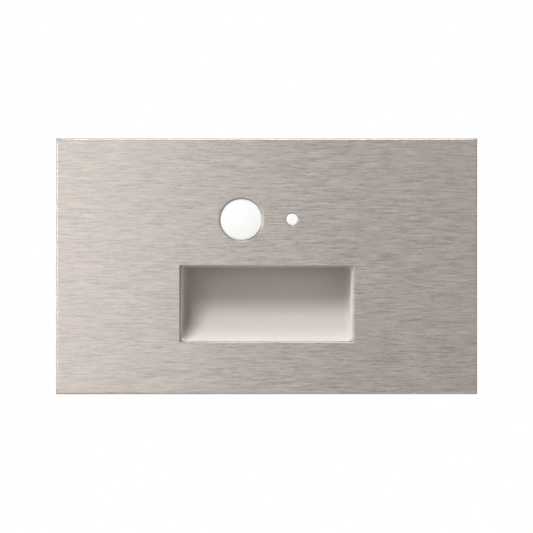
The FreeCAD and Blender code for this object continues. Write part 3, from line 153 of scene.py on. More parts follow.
class StepLightStage(PropertyGroup):
    """Lamps, floor and camera."""

    key: lamp_power("Key lamp", "Power of the lamp that shades the scoop", 5.55)
    fill: lamp_power("Fill lamp", "Power of the wide lamp in front", 1.65)
    top: lamp_power("Top lamp", "Power of the near lamp above", 0.80)
    side: lamp_power("Side card", "Power of the card mirrored at the left", 0.31)
    upper: lamp_power("Upper card", "Power of the card mirrored at the top", 0.068)
    glints: lamp_power("Glints", "Power of the two cards mirrored in the edges", 1.6)
    back: lamp_power("Back lamp", "Power of the lamp behind the light", 7.0)
    ambient: FloatProperty(
        name="Ambient", description="Strength of the light from all around", default=0.045, min=0.0)
    floor_drop: length("Floor drop", "How far the floor lies below the light", 200.0)
    camera_distance: length("Camera distance", "From the faceplate's front", 1000.0)


# ---------------------------------------------------------------- modelling

def deselect():
    """Leave edit mode and select nothing."""
    if bpy.context.object and bpy.context.object.mode != "OBJECT":
        bpy.ops.object.mode_set(mode="OBJECT")
    bpy.ops.object.select_all(action="DESELECT")


def begin(name):
    """Name the new primitive, put its place into its mesh and open it in edit mode."""
    piece = bpy.context.object
    piece.name = piece.data.name = name
    bpy.ops.object.transform_apply()
    bpy.ops.object.mode_set(mode="EDIT")
    bpy.ops.mesh.select_mode(type="VERT")
    everything()
    return piece


def middle(part):
    """The middle of a face or an edge."""
    if isinstance(part, bmesh.types.BMFace):
        return part.calc_center_median()
    return (part.verts[0].co + part.verts[1].co) / 2


def middle_of(low, high):
    """The middle of a box seen from the front, as (x, z)."""
    return (low.x + high.x) / 2, (low.z + high.z) / 2


def near(a, b, room=2e-6):
    """Whether two lengths are the same, but for rounding."""
    return abs(a - b) < room


def is_sharp(edge):
    """Whether two faces meet at more than 40 degrees."""
    return edge.calc_face_angle(0) > math.radians(40)


def pick(piece, kind, test):
    """Select only the faces or edges that pass the test."""
    bpy.ops.mesh.select_mode(type=kind)
    bpy.ops.mesh.select_all(action="DESELECT")
    mesh = bmesh.from_edit_mesh(piece.data)
    mesh.normal_update()
    chosen = [part for part in (mesh.faces if kind == "FACE" else mesh.edges) if test(part)]
    if not chosen:
        raise RuntimeError(f"{piece.name}: nothing to select")
    for part in chosen:
        part.select_set(True)
    bmesh.update_edit_mesh(piece.data)


def draw_out(x=0.0, y=0.0, z=0.0):
    """Extrude what is selected and move it."""
    bpy.ops.mesh.extrude_region_move(TRANSFORM_OT_translate={"value": (x, y, z)})


def everything():
    """Select the whole mesh."""
    bpy.ops.mesh.select_all(action="SELECT")


def slice_once(axis, place):
    """Cut the selected faces across one axis."""
    normal = [float(i == axis) for i in range(3)]
    bpy.ops.mesh.bisect(plane_co=[place * n for n in normal], plane_no=normal, threshold=1e-7)


def slice_at(axis, places):
    """Cut the whole mesh across one axis at each place."""
    for place in places:
        everything()
        slice_once(axis, place)


def round_off(offset, segments):
    """Round the selected edges."""
    bpy.ops.mesh.bevel(
        offset=offset, offset_type="OFFSET", segments=segments, profile=0.5, affect="EDGES",
        clamp_overlap=False)


def block(name, x, y, z):
    """A cuboid over three (low, high) spans, open in edit mode."""
    deselect()
    centre = [(low + high) / 2 for low, high in (x, y, z)]
    bpy.ops.mesh.primitive_cube_add(size=1.0, location=centre)
    bpy.context.object.scale = [high - low for low, high in (x, y, z)]
    return begin(name)


def turned(name, centre, profile, sides, ring=False):
    """Turn a piece about a line along y through centre: each (y, radius) is drawn from the last."""
    deselect()
    x, z = centre
    y, radius = profile[0]
    bpy.ops.mesh.primitive_circle_add(
        vertices=sides, radius=radius, fill_type="NOTHING", location=(x, y, z), rotation=UPRIGHT)
    piece = begin(name)
    for (start, old), (end, new) in zip(profile, profile[1:]):
        draw_out(y=end - start)
        bpy.ops.transform.resize(value=(new / old, 1, new / old), center_override=(x, end, z))
    everything()
    if ring:
        bpy.ops.mesh.remove_doubles(threshold=1e-7)
    else:
        bpy.ops.mesh.fill_holes(sides=0)
    bpy.ops.mesh.normals_make_consistent(inside=False)
    return piece


def single(piece):
    """Select one object alone and make it the active one."""
    deselect()
    piece.select_set(True)
    bpy.context.view_layer.objects.active = piece


def apply_modifier(piece, kind, **values):
    """Add one modifier to the piece and apply it."""
    single(piece)
    bpy.ops.object.modifier_add(type=kind)
    modifier = piece.modifiers[-1]
    for key, value in values.items():
        setattr(modifier, key, value)
    bpy.ops.object.modifier_apply(modifier=modifier.name)


def cut_away(piece, cutter):
    """Take the cutter's space out of the piece."""
    apply_modifier(piece, "BOOLEAN", object=cutter, operation="DIFFERENCE", solver="EXACT")
    bpy.data.objects.remove(cutter)


def joined(name, pieces):
    """Several pieces as one object."""
    single(pieces[0])
    for piece in pieces[1:]:
        piece.select_set(True)
    if len(pieces) > 1:
        bpy.ops.object.join()
    whole = bpy.context.object
    whole.name = whole.data.name = name
    return whole


def copied(piece, x, z):
    """A copy with its own mesh, moved by a step."""
    single(piece)
    bpy.ops.object.duplicate(linked=False)
    copy = bpy.context.object
    copy.location = (x, 0, z)
    bpy.ops.object.transform_apply()
    return copy


def complete(piece, body, slot, *nodes):
    """Smooth a piece, give it its finish and set it on the frame in place of its nodes."""
    single(piece)
    bpy.ops.object.shade_smooth_by_angle(angle=math.radians(35.0))
    apply_modifier(piece, "WEIGHTED_NORMAL", mode="FACE_AREA", weight=50, keep_sharp=True)
    piece.data.materials.clear()
    piece.data.materials.append(finish_of(slot))
    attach(piece, body)
    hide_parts(*nodes)


# ---------------------------------------------------------------- effects that finishes share

def effect(name, inputs, outputs):
    """An empty shader group with named sockets, and its input and output nodes."""
    tree = bpy.data.node_groups.new(name, "ShaderNodeTree")
    for label, default in inputs.items():
        socket = tree.interface.new_socket(label, in_out="INPUT", socket_type="NodeSocketFloat")
        socket.default_value = default
    for label in outputs:
        tree.interface.new_socket(label, in_out="OUTPUT", socket_type="NodeSocketFloat")
    return tree, tree.nodes.new("NodeGroupInput"), tree.nodes.new("NodeGroupOutput")


def connect(tree, node, links):
    """Wire or set a node's inputs."""
    for key, source in links.items():
        if isinstance(source, bpy.types.NodeSocket):
            tree.links.new(source, node.inputs[key])
        else:
            node.inputs[key].default_value = source


def add(tree, kind, links=None, **values):
    """Add a shader node, set its values and wire its inputs."""
    node = tree.nodes.new("ShaderNode" + kind)
    for key, value in values.items():
        setattr(node, key, value)
    connect(tree, node, links or {})
    return node


def maths(tree, operation, a, b):
    """One sum of two numbers."""
    return add(tree, "Math", {0: a, 1: b}, operation=operation).outputs[0]


def vectors(tree, operation, *inputs, **named):
    """One sum of vectors; a length comes out as a number."""
    node = add(tree, "VectorMath", {**dict(enumerate(inputs)), **named}, operation=operation)
    return node.outputs["Value" if operation == "LENGTH" else "Vector"]


def weighted(tree, *parts):
    """The sum of several values, each times its own weight."""
    total, *others = [maths(tree, "MULTIPLY", value, weight) for value, weight in parts]
    for other in others:
        total = maths(tree, "ADD", total, other)
    return total


def object_place(tree):
    """The place on the object, in metres."""
    return add(tree, "TexCoord").outputs["Object"]


def noise(tree, place, scale, detail, **links):
    """A noise texture's value."""
    links = {"Vector": place, "Scale": scale, "Detail": detail, **links}
    return add(tree, "TexNoise", links).outputs["Fac"]


def stretched(tree, place, along, across):
    """A place drawn out along x, in cells to the metre along and across the lines."""
    cells = add(tree, "CombineXYZ", {"X": along, "Y": across, "Z": across})
    return vectors(tree, "MULTIPLY", place, cells.outputs[0])


def brushed_effect():
    """Hair lines of a brushed sheet along x, long, short and very fine, and faint broad bands."""
    tree, given, result = effect("Brushed lines", {"Along": 110.0, "Across": 3000.0}, ("Line", "Band"))
    along, across = given.outputs["Along"], given.outputs["Across"]
    place = object_place(tree)
    warp = add(tree, "TexNoise", {"Vector": place, "Scale": 110.0, "Detail": 1.0})
    bent = vectors(tree, "ADD", warp.outputs["Color"], (-0.5, -0.5, -0.5))
    wavy = vectors(tree, "ADD", place, vectors(tree, "SCALE", bent, Scale=0.0005))
    parts = []
    for shorter, finer, weight in ((1.0, 1.0, 0.36), (2.6, 1.07, 0.38), (8.0, 1.9, 0.26)):
        laid = stretched(
            tree, wavy, maths(tree, "MULTIPLY", along, shorter), maths(tree, "MULTIPLY", across, finer))
        parts.append((noise(tree, laid, 1.0, 0.0), weight))
    band = noise(tree, stretched(tree, wavy, along, across), 0.2, 1.0)
    connect(tree, result, {"Line": weighted(tree, *parts), "Band": band})
    return tree


def moulded_effect():
    """The fine pebbled grain of a spark finish, with soft handling marks."""
    tree, given, result = effect("Moulded grain", {"Scale": 1400.0}, ("Grain", "Mottle"))
    scale, place = given.outputs["Scale"], object_place(tree)
    pits = add(tree, "TexVoronoi", {"Vector": place, "Scale": scale})
    fine = noise(tree, place, maths(tree, "MULTIPLY", scale, 1.7), 2.0)
    grain = weighted(tree, (pits.outputs["Distance"], 0.6), (fine, 0.5))
    connect(tree, result, {"Grain": grain, "Mottle": noise(tree, place, 70.0, 4.0)})
    return tree


def plated_effect():
    """The faint crystal cloud of plated or drawn metal."""
    tree, given, result = effect("Plated cloud", {"Scale": 500.0}, ("Grain", "Mottle"))
    place = object_place(tree)
    flakes = noise(tree, place, given.outputs["Scale"], 3.0, Distortion=0.6)
    connect(tree, result, {"Grain": flakes, "Mottle": noise(tree, place, 45.0, 3.0)})
    return tree


EFFECTS = {"brushed": brushed_effect, "moulded": moulded_effect, "plated": plated_effect}
made_effects = {}


def shared(tree, kind):
    """A node of a shared effect, of which there is one copy."""
    if kind not in made_effects:
        made_effects[kind] = EFFECTS[kind]()
    return add(tree, "Group", node_tree=made_effects[kind])


# ---------------------------------------------------------------- finishes

def slot_name(material):
    """A material's slot, without the number that Blender adds to a name in use."""
    return material.name.split(".")[0]


def emptied(owner):
    """The node tree of a new material or world, with nothing in it."""
    owner.use_nodes = True
    owner.node_tree.nodes.clear()
    return owner.node_tree


def bare_material(name, **shader):
    """A material with a Principled shader and its output."""
    material = bpy.data.materials.new(name)
    tree = emptied(material)
    principled = add(tree, "BsdfPrincipled", {key.replace("_", " "): shader[key] for key in shader})
    add(tree, "OutputMaterial", {"Surface": principled.outputs["BSDF"]})
    return material, tree, principled


def tinted(tree, base, mask, spread):
    """The base colour, darker and lighter by a share as the mask goes from 0 to 1."""
    ends = [[min(1.0, channel * (1 + step)) for channel in base] + [1.0] for step in (-spread, spread)]
    return add(tree, "Mix", {"Factor": mask, "A": ends[0], "B": ends[1]},
               data_type="RGBA").outputs["Result"]


def ranged(tree, mask, low, high):
    """The mask spread over a range, from its usual 0.3 to 0.7."""
    return add(tree, "MapRange",
               {"Value": mask, "From Min": 0.3, "From Max": 0.7, "To Min": low, "To Max": high},
               clamp=True).outputs["Result"]


def dress(tree, principled, colour_from, roughness_from, height, relief, depth):
    """Wire a finish's colour, roughness and relief to its shader."""
    bump = add(tree, "Bump", {"Height": height, "Strength": relief, "Distance": depth})
    connect(tree, principled, {"Base Color": colour_from, "Roughness": roughness_from,
                               "Normal": bump.outputs["Normal"]})


def finish(name, base, roughness, scale, spread=0.08, kind="moulded", polish=0.06, relief=0.15,
           depth=0.00002, **shader):
    """A finish of one colour whose shade, roughness and relief follow a shared effect."""
    material, tree, principled = bare_material(name, **shader)
    group = shared(tree, kind)
    group.inputs["Scale"].default_value = scale
    grain, mottle = group.outputs["Grain"], group.outputs["Mottle"]
    shade = ranged(tree, weighted(tree, (grain, 0.5), (mottle, 0.5)), 0.0, 1.0)
    dress(tree, principled, tinted(tree, base, shade, spread),
          ranged(tree, mottle, roughness - polish, roughness + polish), grain, relief, depth)
    return material


def metal(name, base, roughness, scale, spread=0.08, **values):
    """A plated or drawn metal."""
    return finish(name, base, roughness, scale, spread, "plated", Metallic=1.0, **values)


def brushed_finish(name, base, roughness):
    """Brushed metal with its grain along x."""
    material, tree, principled = bare_material(name, Metallic=1.0)
    group = shared(tree, "brushed")
    line = group.outputs["Line"]
    blend = weighted(tree, (line, 0.92), (group.outputs["Band"], 0.08))
    dress(tree, principled, tinted(tree, base, ranged(tree, blend, 0.0, 1.0), 0.23),
          ranged(tree, blend, roughness - 0.05, roughness + 0.05), line, 0.15, 0.00002)
    return material


def lens_finish(name, base, centre):
    """Milky plastic with the fine rings of a flat lens round its own middle."""
    material, tree, principled = bare_material(name, Roughness=0.32)
    about = vectors(tree, "ADD", object_place(tree), (-centre[0], 0.0, -centre[1]))
    radius = vectors(tree, "LENGTH", vectors(tree, "MULTIPLY", about, (1.0, 0.0, 1.0)))
    rings = maths(tree, "PINGPONG", radius, 0.00022)
    mottle = shared(tree, "moulded").outputs["Mottle"]
    dress(tree, principled, tinted(tree, base, mottle, 0.015), ranged(tree, mottle, 0.28, 0.36),
          rings, 0.35, 0.1)
    return material


def board_finish(name, base):
    """Solder mask with the faint relief and tint of copper tracks under it."""
    material, tree, principled = bare_material(name, Roughness=0.3)
    upright = add(
        tree, "VectorRotate", {"Vector": object_place(tree), "Angle": math.pi / 2},
        rotation_type="X_AXIS")
    tracks = add(tree, "TexBrick", {
        "Vector": upright.outputs[0], "Scale": 330.0, "Mortar Size": 0.03, "Mortar Smooth": 0.2,
        "Color1": BLACK, "Color2": BLACK, "Mortar": WHITE}).outputs["Fac"]
    mottle = shared(tree, "moulded").outputs["Mottle"]
    dress(tree, principled, tinted(tree, base, tracks, 0.45), ranged(tree, mottle, 0.24, 0.38),
          tracks, 0.4, 0.00004)
    return material


def wound_finish(name, base, turns, axis):
    """Lacquered wire laid turn by turn along one axis, painted darker in the grooves between turns as
    shade.
    """
    material, tree, principled = bare_material(name, Metallic=0.6, Coat_Weight=0.5)
    wire_turns_and_shade = add(tree, "TexWave",
               {"Vector": object_place(tree), "Scale": turns, "Distortion": 0.3},
               wave_type="BANDS", bands_direction=axis, wave_profile="SIN").outputs["Fac"]
    # The turns set the relief and roughness; the colour is darker in the grooves and lighter on the
    # crowns, a painted shade and painted highlight.
    dress(tree, principled, tinted(tree, base, wire_turns_and_shade, 0.35), ranged(tree, wire_turns_and_shade, 0.45, 0.25),
          wire_turns_and_shade, 0.8, 0.0001)
    return material


def make_finishes(tone):
    """Every finish by its slot's name."""
    # slot, colour, roughness, cells to the metre, spread of shade
    made = (
        brushed_finish("satin_nickel", tone.nickel, 0.30),
        finish("scoop_satin", tone.scoop, 0.60, 2600.0, 0.025, relief=0.10,
               Diffuse_Roughness=1.0, Specular_IOR_Level=0.25),
        lens_finish("lens_white", tone.opal, middle_of(*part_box("pir_lens"))),
        finish("pipe_white", tone.opal, 0.22, 1400.0, 0.01, relief=0.03),
        metal("strap_steel", tone.zinc, 0.34, 700.0, 0.12, relief=0.1),
        metal("screw_steel", tone.zinc, 0.26, 1800.0, 0.10, relief=0.12),
        metal("magnet_plate", (0.55, 0.54, 0.53), 0.16, 900.0, 0.05, polish=0.04, relief=0.05),
        metal("earth_brass", tone.brass, 0.28, 1500.0, 0.12),
        finish("housing_black", tone.black, 0.52, 1500.0, 0.35, relief=0.35, depth=0.00004),
        finish("carrier_grey", tone.carrier, 0.5, 1600.0, 0.10, relief=0.3, depth=0.00003),
        finish("soft_black", tone.rubber, 0.72, 900.0, 0.5, polish=0.08, relief=0.3),
        # The diffuser glows faintly warm though its LED is off: a painted glow.
        finish("opal_white", tone.opal, 0.45, 2200.0, 0.02, Emission_Strength=0.15,
               Emission_Color=(1.0, 0.96, 0.88, 1.0)),
        board_finish("led_board_white", (0.75, 0.75, 0.73)),
        finish("led_phosphor", (0.85, 0.62, 0.10), 0.35, 3000.0, 0.06),
        metal("spreader_aluminium", (0.72, 0.73, 0.74), 0.32, 600.0, 0.06),
        board_finish("board_green", tone.board),
        finish("chip_black", (0.02, 0.02, 0.021), 0.45, 2600.0, 0.3),
        metal("can_metal", (0.62, 0.61, 0.58), 0.24, 1200.0, 0.06),
        finish("filter_dark", (0.03, 0.022, 0.03), 0.12, 500.0, 0.2, kind="plated",
               polish=0.03, relief=0.02),
        finish("cell_red", (0.30, 0.05, 0.03), 0.3, 2400.0, 0.15),
        finish("trimmer_blue", (0.02, 0.09, 0.38), 0.38, 2200.0),
        finish("knob_white", (0.80, 0.79, 0.76), 0.42, 1800.0, 0.03),
        metal("pin_gold", (0.85, 0.62, 0.25), 0.2, 2000.0),
        finish("ferrite", (0.045, 0.043, 0.045), 0.6, 1100.0, 0.3, relief=0.5),
        wound_finish("coil_tape", (0.48, 0.20, 0.07), 520.0, "Y"),
        finish("capacitor_sleeve", (0.03, 0.035, 0.06), 0.28, 1700.0, 0.15, Coat_Weight=0.3),
        finish("fuse_brown", (0.20, 0.09, 0.04), 0.4, 2000.0),
        finish("terminal_green", (0.03, 0.26, 0.09), 0.42, 1700.0),
        finish("lead_sleeve", (0.55, 0.05, 0.04), 0.4, 2000.0),
    )
    return {slot_name(material): material for material in made}


finishes = {}


def finish_of(slot):
    """The finish for a slot. All are made the first time that one is asked for."""
    if not finishes:
        finishes.update(make_finishes(bpy.context.scene.step_light_finishes))
    return finishes[slot]


# ---------------------------------------------------------------- pieces

class STEPLIGHT_OT_faceplate(Operator):
    """Model the brushed faceplate: sheet, openings, turned edge and magnet rings"""

    bl_idname = "steplight.faceplate"
    bl_label = "Faceplate"

    def execute(self, context):
        size = context.scene.step_light_sizes
        low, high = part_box("faceplate")
        front = low.y
        x, z = middle_of(low, high)
        centre = (x, front, z)
        lens, pipe = [sum(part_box(node), Vector()) / 2 for node in ("pir_lens", "light_pipe")]

        deselect()
        bpy.ops.mesh.primitive_plane_add(size=1.0, location=centre, rotation=UPRIGHT)
        plate = begin("faceplate_brushed")
        bpy.ops.transform.resize(
            value=(high.x - low.x, 1, high.z - low.z), center_override=centre)
        inner = (high.x - size.rim, high.z - size.rim)
        slice_at(
            0, (-inner[0], -size.opening_half, size.opening_half, inner[0], lens.x - size.hole_cell,
            lens.x + size.hole_cell, pipe.x - size.hole_cell, pipe.x + size.hole_cell))
        slice_at(2, (-inner[1], size.opening_low, size.opening_top, inner[1],
                     lens.z - size.hole_cell, lens.z + size.hole_cell))
        pick(plate, "FACE", lambda face: abs(middle(face).x) < size.opening_half
             and size.opening_low < middle(face).z < size.opening_top)
        bpy.ops.mesh.delete(type="FACE")
        for hole, radius in ((lens, size.lens_hole), (pipe, size.pipe_hole)):
            self.open_hole(plate, hole, radius, front, size.hole_cell)
        apply_modifier(plate, "SOLIDIFY", thickness=size.skin, offset=-1.0)

        bpy.ops.object.mode_set(mode="EDIT")
        pick(plate, "FACE", lambda face: near(middle(face).y, front + size.skin)
             and (abs(middle(face).x) > inner[0] or abs(middle(face).z) > inner[1]))
        draw_out(y=high.y - front - size.skin)
        self.round_front(plate, size, front, high, lens, pipe)
        rings = self.magnet_rings(size, front + size.skin)
        plate = joined("faceplate_brushed", [plate, *rings])
        complete(plate, "cover", "satin_nickel", "faceplate")
        return {"FINISHED"}

    def open_hole(self, plate, hole, radius, front, cell):
        """Swap the square round a hole for a ring of faces with a round inner edge."""
        def inside(point, room):
            return abs(point.x - hole.x) < cell + room and abs(point.z - hole.z) < cell + room

        def on_rim(edge):
            return edge.is_boundary and inside(middle(edge), 1e-6)

        pick(plate, "FACE", lambda face: inside(middle(face), -1e-4))
        bpy.ops.mesh.delete(type="ONLY_FACE")
        pick(plate, "EDGE", on_rim)
        bpy.ops.mesh.subdivide(number_cuts=23)
        pick(plate, "EDGE", on_rim)
        draw_out()
        bpy.ops.transform.tosphere(value=1.0)
        centre = Vector((hole.x, front, hole.z))
        ring = [vert.co for vert in bmesh.from_edit_mesh(plate.data).verts if vert.select]
        share = radius * len(ring) / sum((point - centre).length for point in ring)
        bpy.ops.transform.resize(value=(share, 1, share), center_override=centre)

    def round_front(self, plate, size, front, high, lens, pipe):
        """Round the front edges of the outline and of the openings."""
        def at_front(edge):
            return all(near(vert.co.y, front) for vert in edge.verts)

        def on_ring(hole, radius):
            centre = Vector((hole.x, front, hole.z))
            return lambda edge: all(
                near((vert.co - centre).length, radius, 1e-5) for vert in edge.verts)

        def on_outline(edge):
            place = middle(edge)
            return near(abs(place.x), high.x) or near(abs(place.z), high.z)

        def on_opening(edge):
            place = middle(edge)
            upright = near(abs(place.x), size.opening_half)
            level = near(place.z, size.opening_top) or near(place.z, size.opening_low)
            return edge.calc_face_angle(0) > 1 and (upright or level)

        for chosen, offset, segments in (
                (on_outline, size.edge_round, 5), (on_opening, size.opening_round, 5),
                (on_ring(lens, size.lens_hole), size.opening_round, 5),
                (on_ring(pipe, size.pipe_hole), size.pipe_round, 4)):
            pick(plate, "EDGE", lambda edge, chosen=chosen: at_front(edge) and chosen(edge))
            round_off(offset, segments)

    def magnet_rings(self, size, skin_back):
        """Four rings behind the sheet, one round each magnet."""
        low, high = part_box("faceplate_magnets")
        gap, lip = 0.05 * MM, 0.15 * MM
        inner, outer = size.magnet_ring, size.magnet_ring + size.magnet_ring_wall
        root, end = skin_back - size.skin / 4, high.y - size.magnet_ring_relief
        first = turned("magnet_ring", (0, 0), [
            (root, inner), (root, outer), (end - lip, outer), (end, outer - lip),
            (end, inner + lip), (end - lip, inner), (root, inner)], 64, ring=True)
        radius = inner - gap
        rings = [copied(first, side * (high.x - radius), turn * (high.z - radius))
                 for side, turn in CORNERS]
        bpy.data.objects.remove(first)
        return rings


class STEPLIGHT_OT_scoop(Operator):
    """Model the scoop: a quarter-round ramp between drafted sides, with its flange"""

    bl_idname = "steplight.scoop"
    bl_label = "Scoop"

    def execute(self, context):
        size = context.scene.step_light_sizes
        low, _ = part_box("scoop_reflector")
        mouth, top = low.y, size.mouth_top
        height, level = top - size.mouth_low, (top + size.mouth_low) / 2
        back = mouth + height
        wide = size.mouth_half + size.side_draft
        ceiling = (0, mouth + height / 2, top)

        deselect()
        bpy.ops.mesh.primitive_plane_add(size=1.0, location=ceiling)
        scoop = begin("scoop_smooth")
        bpy.ops.transform.resize(value=(2 * wide, height, 1), center_override=ceiling)
        pick(scoop, "EDGE", lambda edge: near(middle(edge).y, back))
        bpy.ops.mesh.spin(
            steps=size.ramp_steps, angle=math.pi / 2, use_auto_merge=False, center=(0, mouth, top),
            axis=(1, 0, 0))
        everything()
        bpy.ops.mesh.remove_doubles(threshold=1e-7)
        pick(scoop, "EDGE", lambda edge: edge.is_boundary and abs(middle(edge).x) < wide / 2
             and near(middle(edge).y, mouth))
        bpy.ops.mesh.edge_face_add()
        for side in SIDES:
            everything()
            outward = Vector((side * height, size.side_draft, 0)).normalized()
            bpy.ops.mesh.bisect(plane_co=(side * size.mouth_half, mouth, 0), plane_no=outward,
                                use_fill=True, clear_outer=True, threshold=1e-7)
        everything()
        bpy.ops.mesh.normals_make_consistent(inside=True)

        pick(scoop, "FACE", lambda face: near(middle(face).y, mouth) and abs(face.normal.y) > 0.9)
        bpy.ops.mesh.delete(type="ONLY_FACE")
        pick(scoop, "EDGE", lambda edge: is_sharp(edge) and middle(edge).z < top - 1e-5)
        round_off(size.scoop_round, 8)
        pick(scoop, "EDGE", is_sharp)
        round_off(size.ceiling_round, 3)
        pick(scoop, "EDGE", lambda edge: edge.is_boundary and near(middle(edge).y, mouth))
        self.draw_flange(scoop, size, (0, mouth, level), height / 2)
        self.open_window(scoop, size, top)
        apply_modifier(scoop, "SOLIDIFY", thickness=size.scoop_wall, offset=-1.0, use_even_offset=True)
        for side in SIDES:
            self.drill(scoop, side, mouth, level)
        scoop = joined("scoop_smooth", [scoop, *self.led_blocks(size)])
        complete(scoop, "fixture", "scoop_satin", "scoop_reflector")
        return {"FINISHED"}

    def draw_flange(self, scoop, size, centre, half):
        """Draw the mouth's edge out flat to the flange, with a small round at its root."""
        draw_out()
        bpy.ops.transform.resize(
            value=(size.flange_half / size.mouth_half, 1, (half + size.flange_lap) / half),
            center_override=centre)
        pick(scoop, "EDGE", lambda edge: near(middle(edge).y, centre[1]) and is_sharp(edge))
        round_off(size.mouth_round, 3)

    def open_window(self, scoop, size, top):
        """Open the light window in the ceiling."""
        for axis, place in ((0, -size.window_half), (0, size.window_half),
                            (1, size.window_front), (1, size.window_back)):
            pick(scoop, "FACE", lambda face: near(middle(face).z, top))
            slice_once(axis, place)
        pick(scoop, "FACE", lambda face: near(middle(face).z, top)
             and abs(middle(face).x) < size.window_half
             and size.window_front < middle(face).y < size.window_back)
        bpy.ops.mesh.delete(type="FACE")

    def drill(self, scoop, side, mouth, height):
        """Sink a countersunk hole for one scoop screw."""
        low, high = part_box("scoop_screws")
        head, bore = (high.z - low.z) / 2, 0.9 * MM
        before, sink, through = mouth - 1.0 * MM, mouth + 0.7 * MM, mouth + 2.0 * MM
        cutter = turned("scoop_sink", (side * (high.x - head), height), [
            (before, head), (mouth, head), (sink, bore), (through, bore)], 48)
        cut_away(scoop, cutter)

    def led_blocks(self, size):
        """Two blocks on the ceiling that carry the LED board."""
        board_low, board_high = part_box("led_board")
        blocks = []
        for side in SIDES:
            x = sorted((side * size.block_inner, side * size.block_outer))
            piece = block("led_block", x, (board_low.y, board_high.y), (size.mouth_top, board_low.z))
            pick(piece, "EDGE", lambda edge: abs(edge.verts[0].co.z - edge.verts[1].co.z) > 1e-4)
            round_off(0.4 * MM, 3)
            blocks.append(piece)
        return blocks


class STEPLIGHT_OT_sensors(Operator):
    """Model the domed motion sensor lens and the daylight sensor's light pipe"""

    bl_idname = "steplight.sensors"
    bl_label = "Sensor lens and light pipe"

    # Shares of the lens's radius at which its dome is drawn.
    DOME = (0.06, 0.2, 0.35, 0.5, 0.65, 0.8, 0.9, 1.0)

    def execute(self, context):
        size = context.scene.step_light_sizes
        self.lens(size, 0.12 * MM)
        self.pipe(size, 0.12 * MM)
        return {"FINISHED"}

    def lens(self, size, edge):
        """A thin dome with a flange behind it."""
        low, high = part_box("pir_lens")
        flange = (high.x - low.x) / 2
        face, seat, back = low.y, low.y + 1.5 * MM, high.y
        radius, wall, crown = size.lens_radius, size.lens_wall, size.lens_crown
        dome = [(face + crown * t * t, (radius - edge) * t) for t in self.DOME]
        under = [(y + wall, r * (radius - wall) / radius) for y, r in reversed(dome)]
        lens = turned("sensor_lens", middle_of(low, high), [
            *dome, (face + crown + edge * 0.35, radius - edge * 0.3), (face + crown + edge, radius),
            (seat, radius), (seat, flange - edge / 2), (seat + edge / 2, flange),
            (back - edge / 2, flange), (back, flange - edge / 2), (back, radius - wall),
            *under], size.turned_sides)
        complete(lens, "fixture", "lens_white", "pir_lens")

    def pipe(self, size, edge):
        """A rod with a collar that holds it behind the faceplate."""
        low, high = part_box("light_pipe")
        collar, radius = (high.x - low.x) / 2, size.pipe_radius
        neck, facet = radius - 0.08 * MM, 0.4 * MM
        front = low.y + 1.6 * MM
        rear = front + 1.0 * MM
        pipe = turned("light_pipe_clear", middle_of(low, high), [
            (low.y, radius - edge - facet), (low.y + edge * 0.12, radius - edge),
            (low.y + edge * 0.45, radius - edge * 0.4), (low.y + edge, radius),
            (front, radius), (front, collar - edge / 2), (front + edge / 2, collar),
            (rear - edge / 2, collar), (rear, collar - edge / 2), (rear, neck),
            (high.y - edge, neck), (high.y, neck - edge)], size.turned_sides // 2)
        complete(pipe, "fixture", "pipe_white", "light_pipe")


class STEPLIGHT_OT_grommet(Operator):
    """Model the rubber cable grommet with its lips and bore"""

    bl_idname = "steplight.grommet"
    bl_label = "Cable grommet"

    def execute(self, context):
        size = context.scene.step_light_sizes
        low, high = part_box("cable_grommet")
        _, cover_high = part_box("rear_cover")
        flange, neck, bore = (high.x - low.x) / 2, size.grommet_neck, size.grommet_bore
        lip, shoulder = 0.25 * MM, (high.x - low.x) / 2 - 0.6 * MM
        outside, inside, back = cover_high.y, low.y + 1.2 * MM, high.y
        grommet = turned("cable_grommet_soft", middle_of(low, high), [
            (low.y, bore + lip), (low.y, flange - lip), (low.y + lip, flange),
            (inside - lip / 2, flange), (inside, flange - lip / 2), (inside, neck),
            (outside, neck), (outside, flange - lip / 2), (outside + lip / 2, flange),
            (outside + lip * 1.6, flange - lip * 0.3), (back - lip, shoulder),
            (back - lip * 0.3, shoulder - lip * 0.7), (back, flange - 1.1 * MM),
            (back, bore + 1.4 * MM), (back - lip, bore + 1.15 * MM),
            (back - lip, bore + 0.75 * MM), (back - lip * 0.3, bore + 0.45 * MM),
            (back - lip * 1.2, bore), (low.y + lip, bore), (low.y, bore + lip),
        ], size.turned_sides, ring=True)
        complete(grommet, "fixture", "soft_black", "cable_grommet")
        return {"FINISHED"}


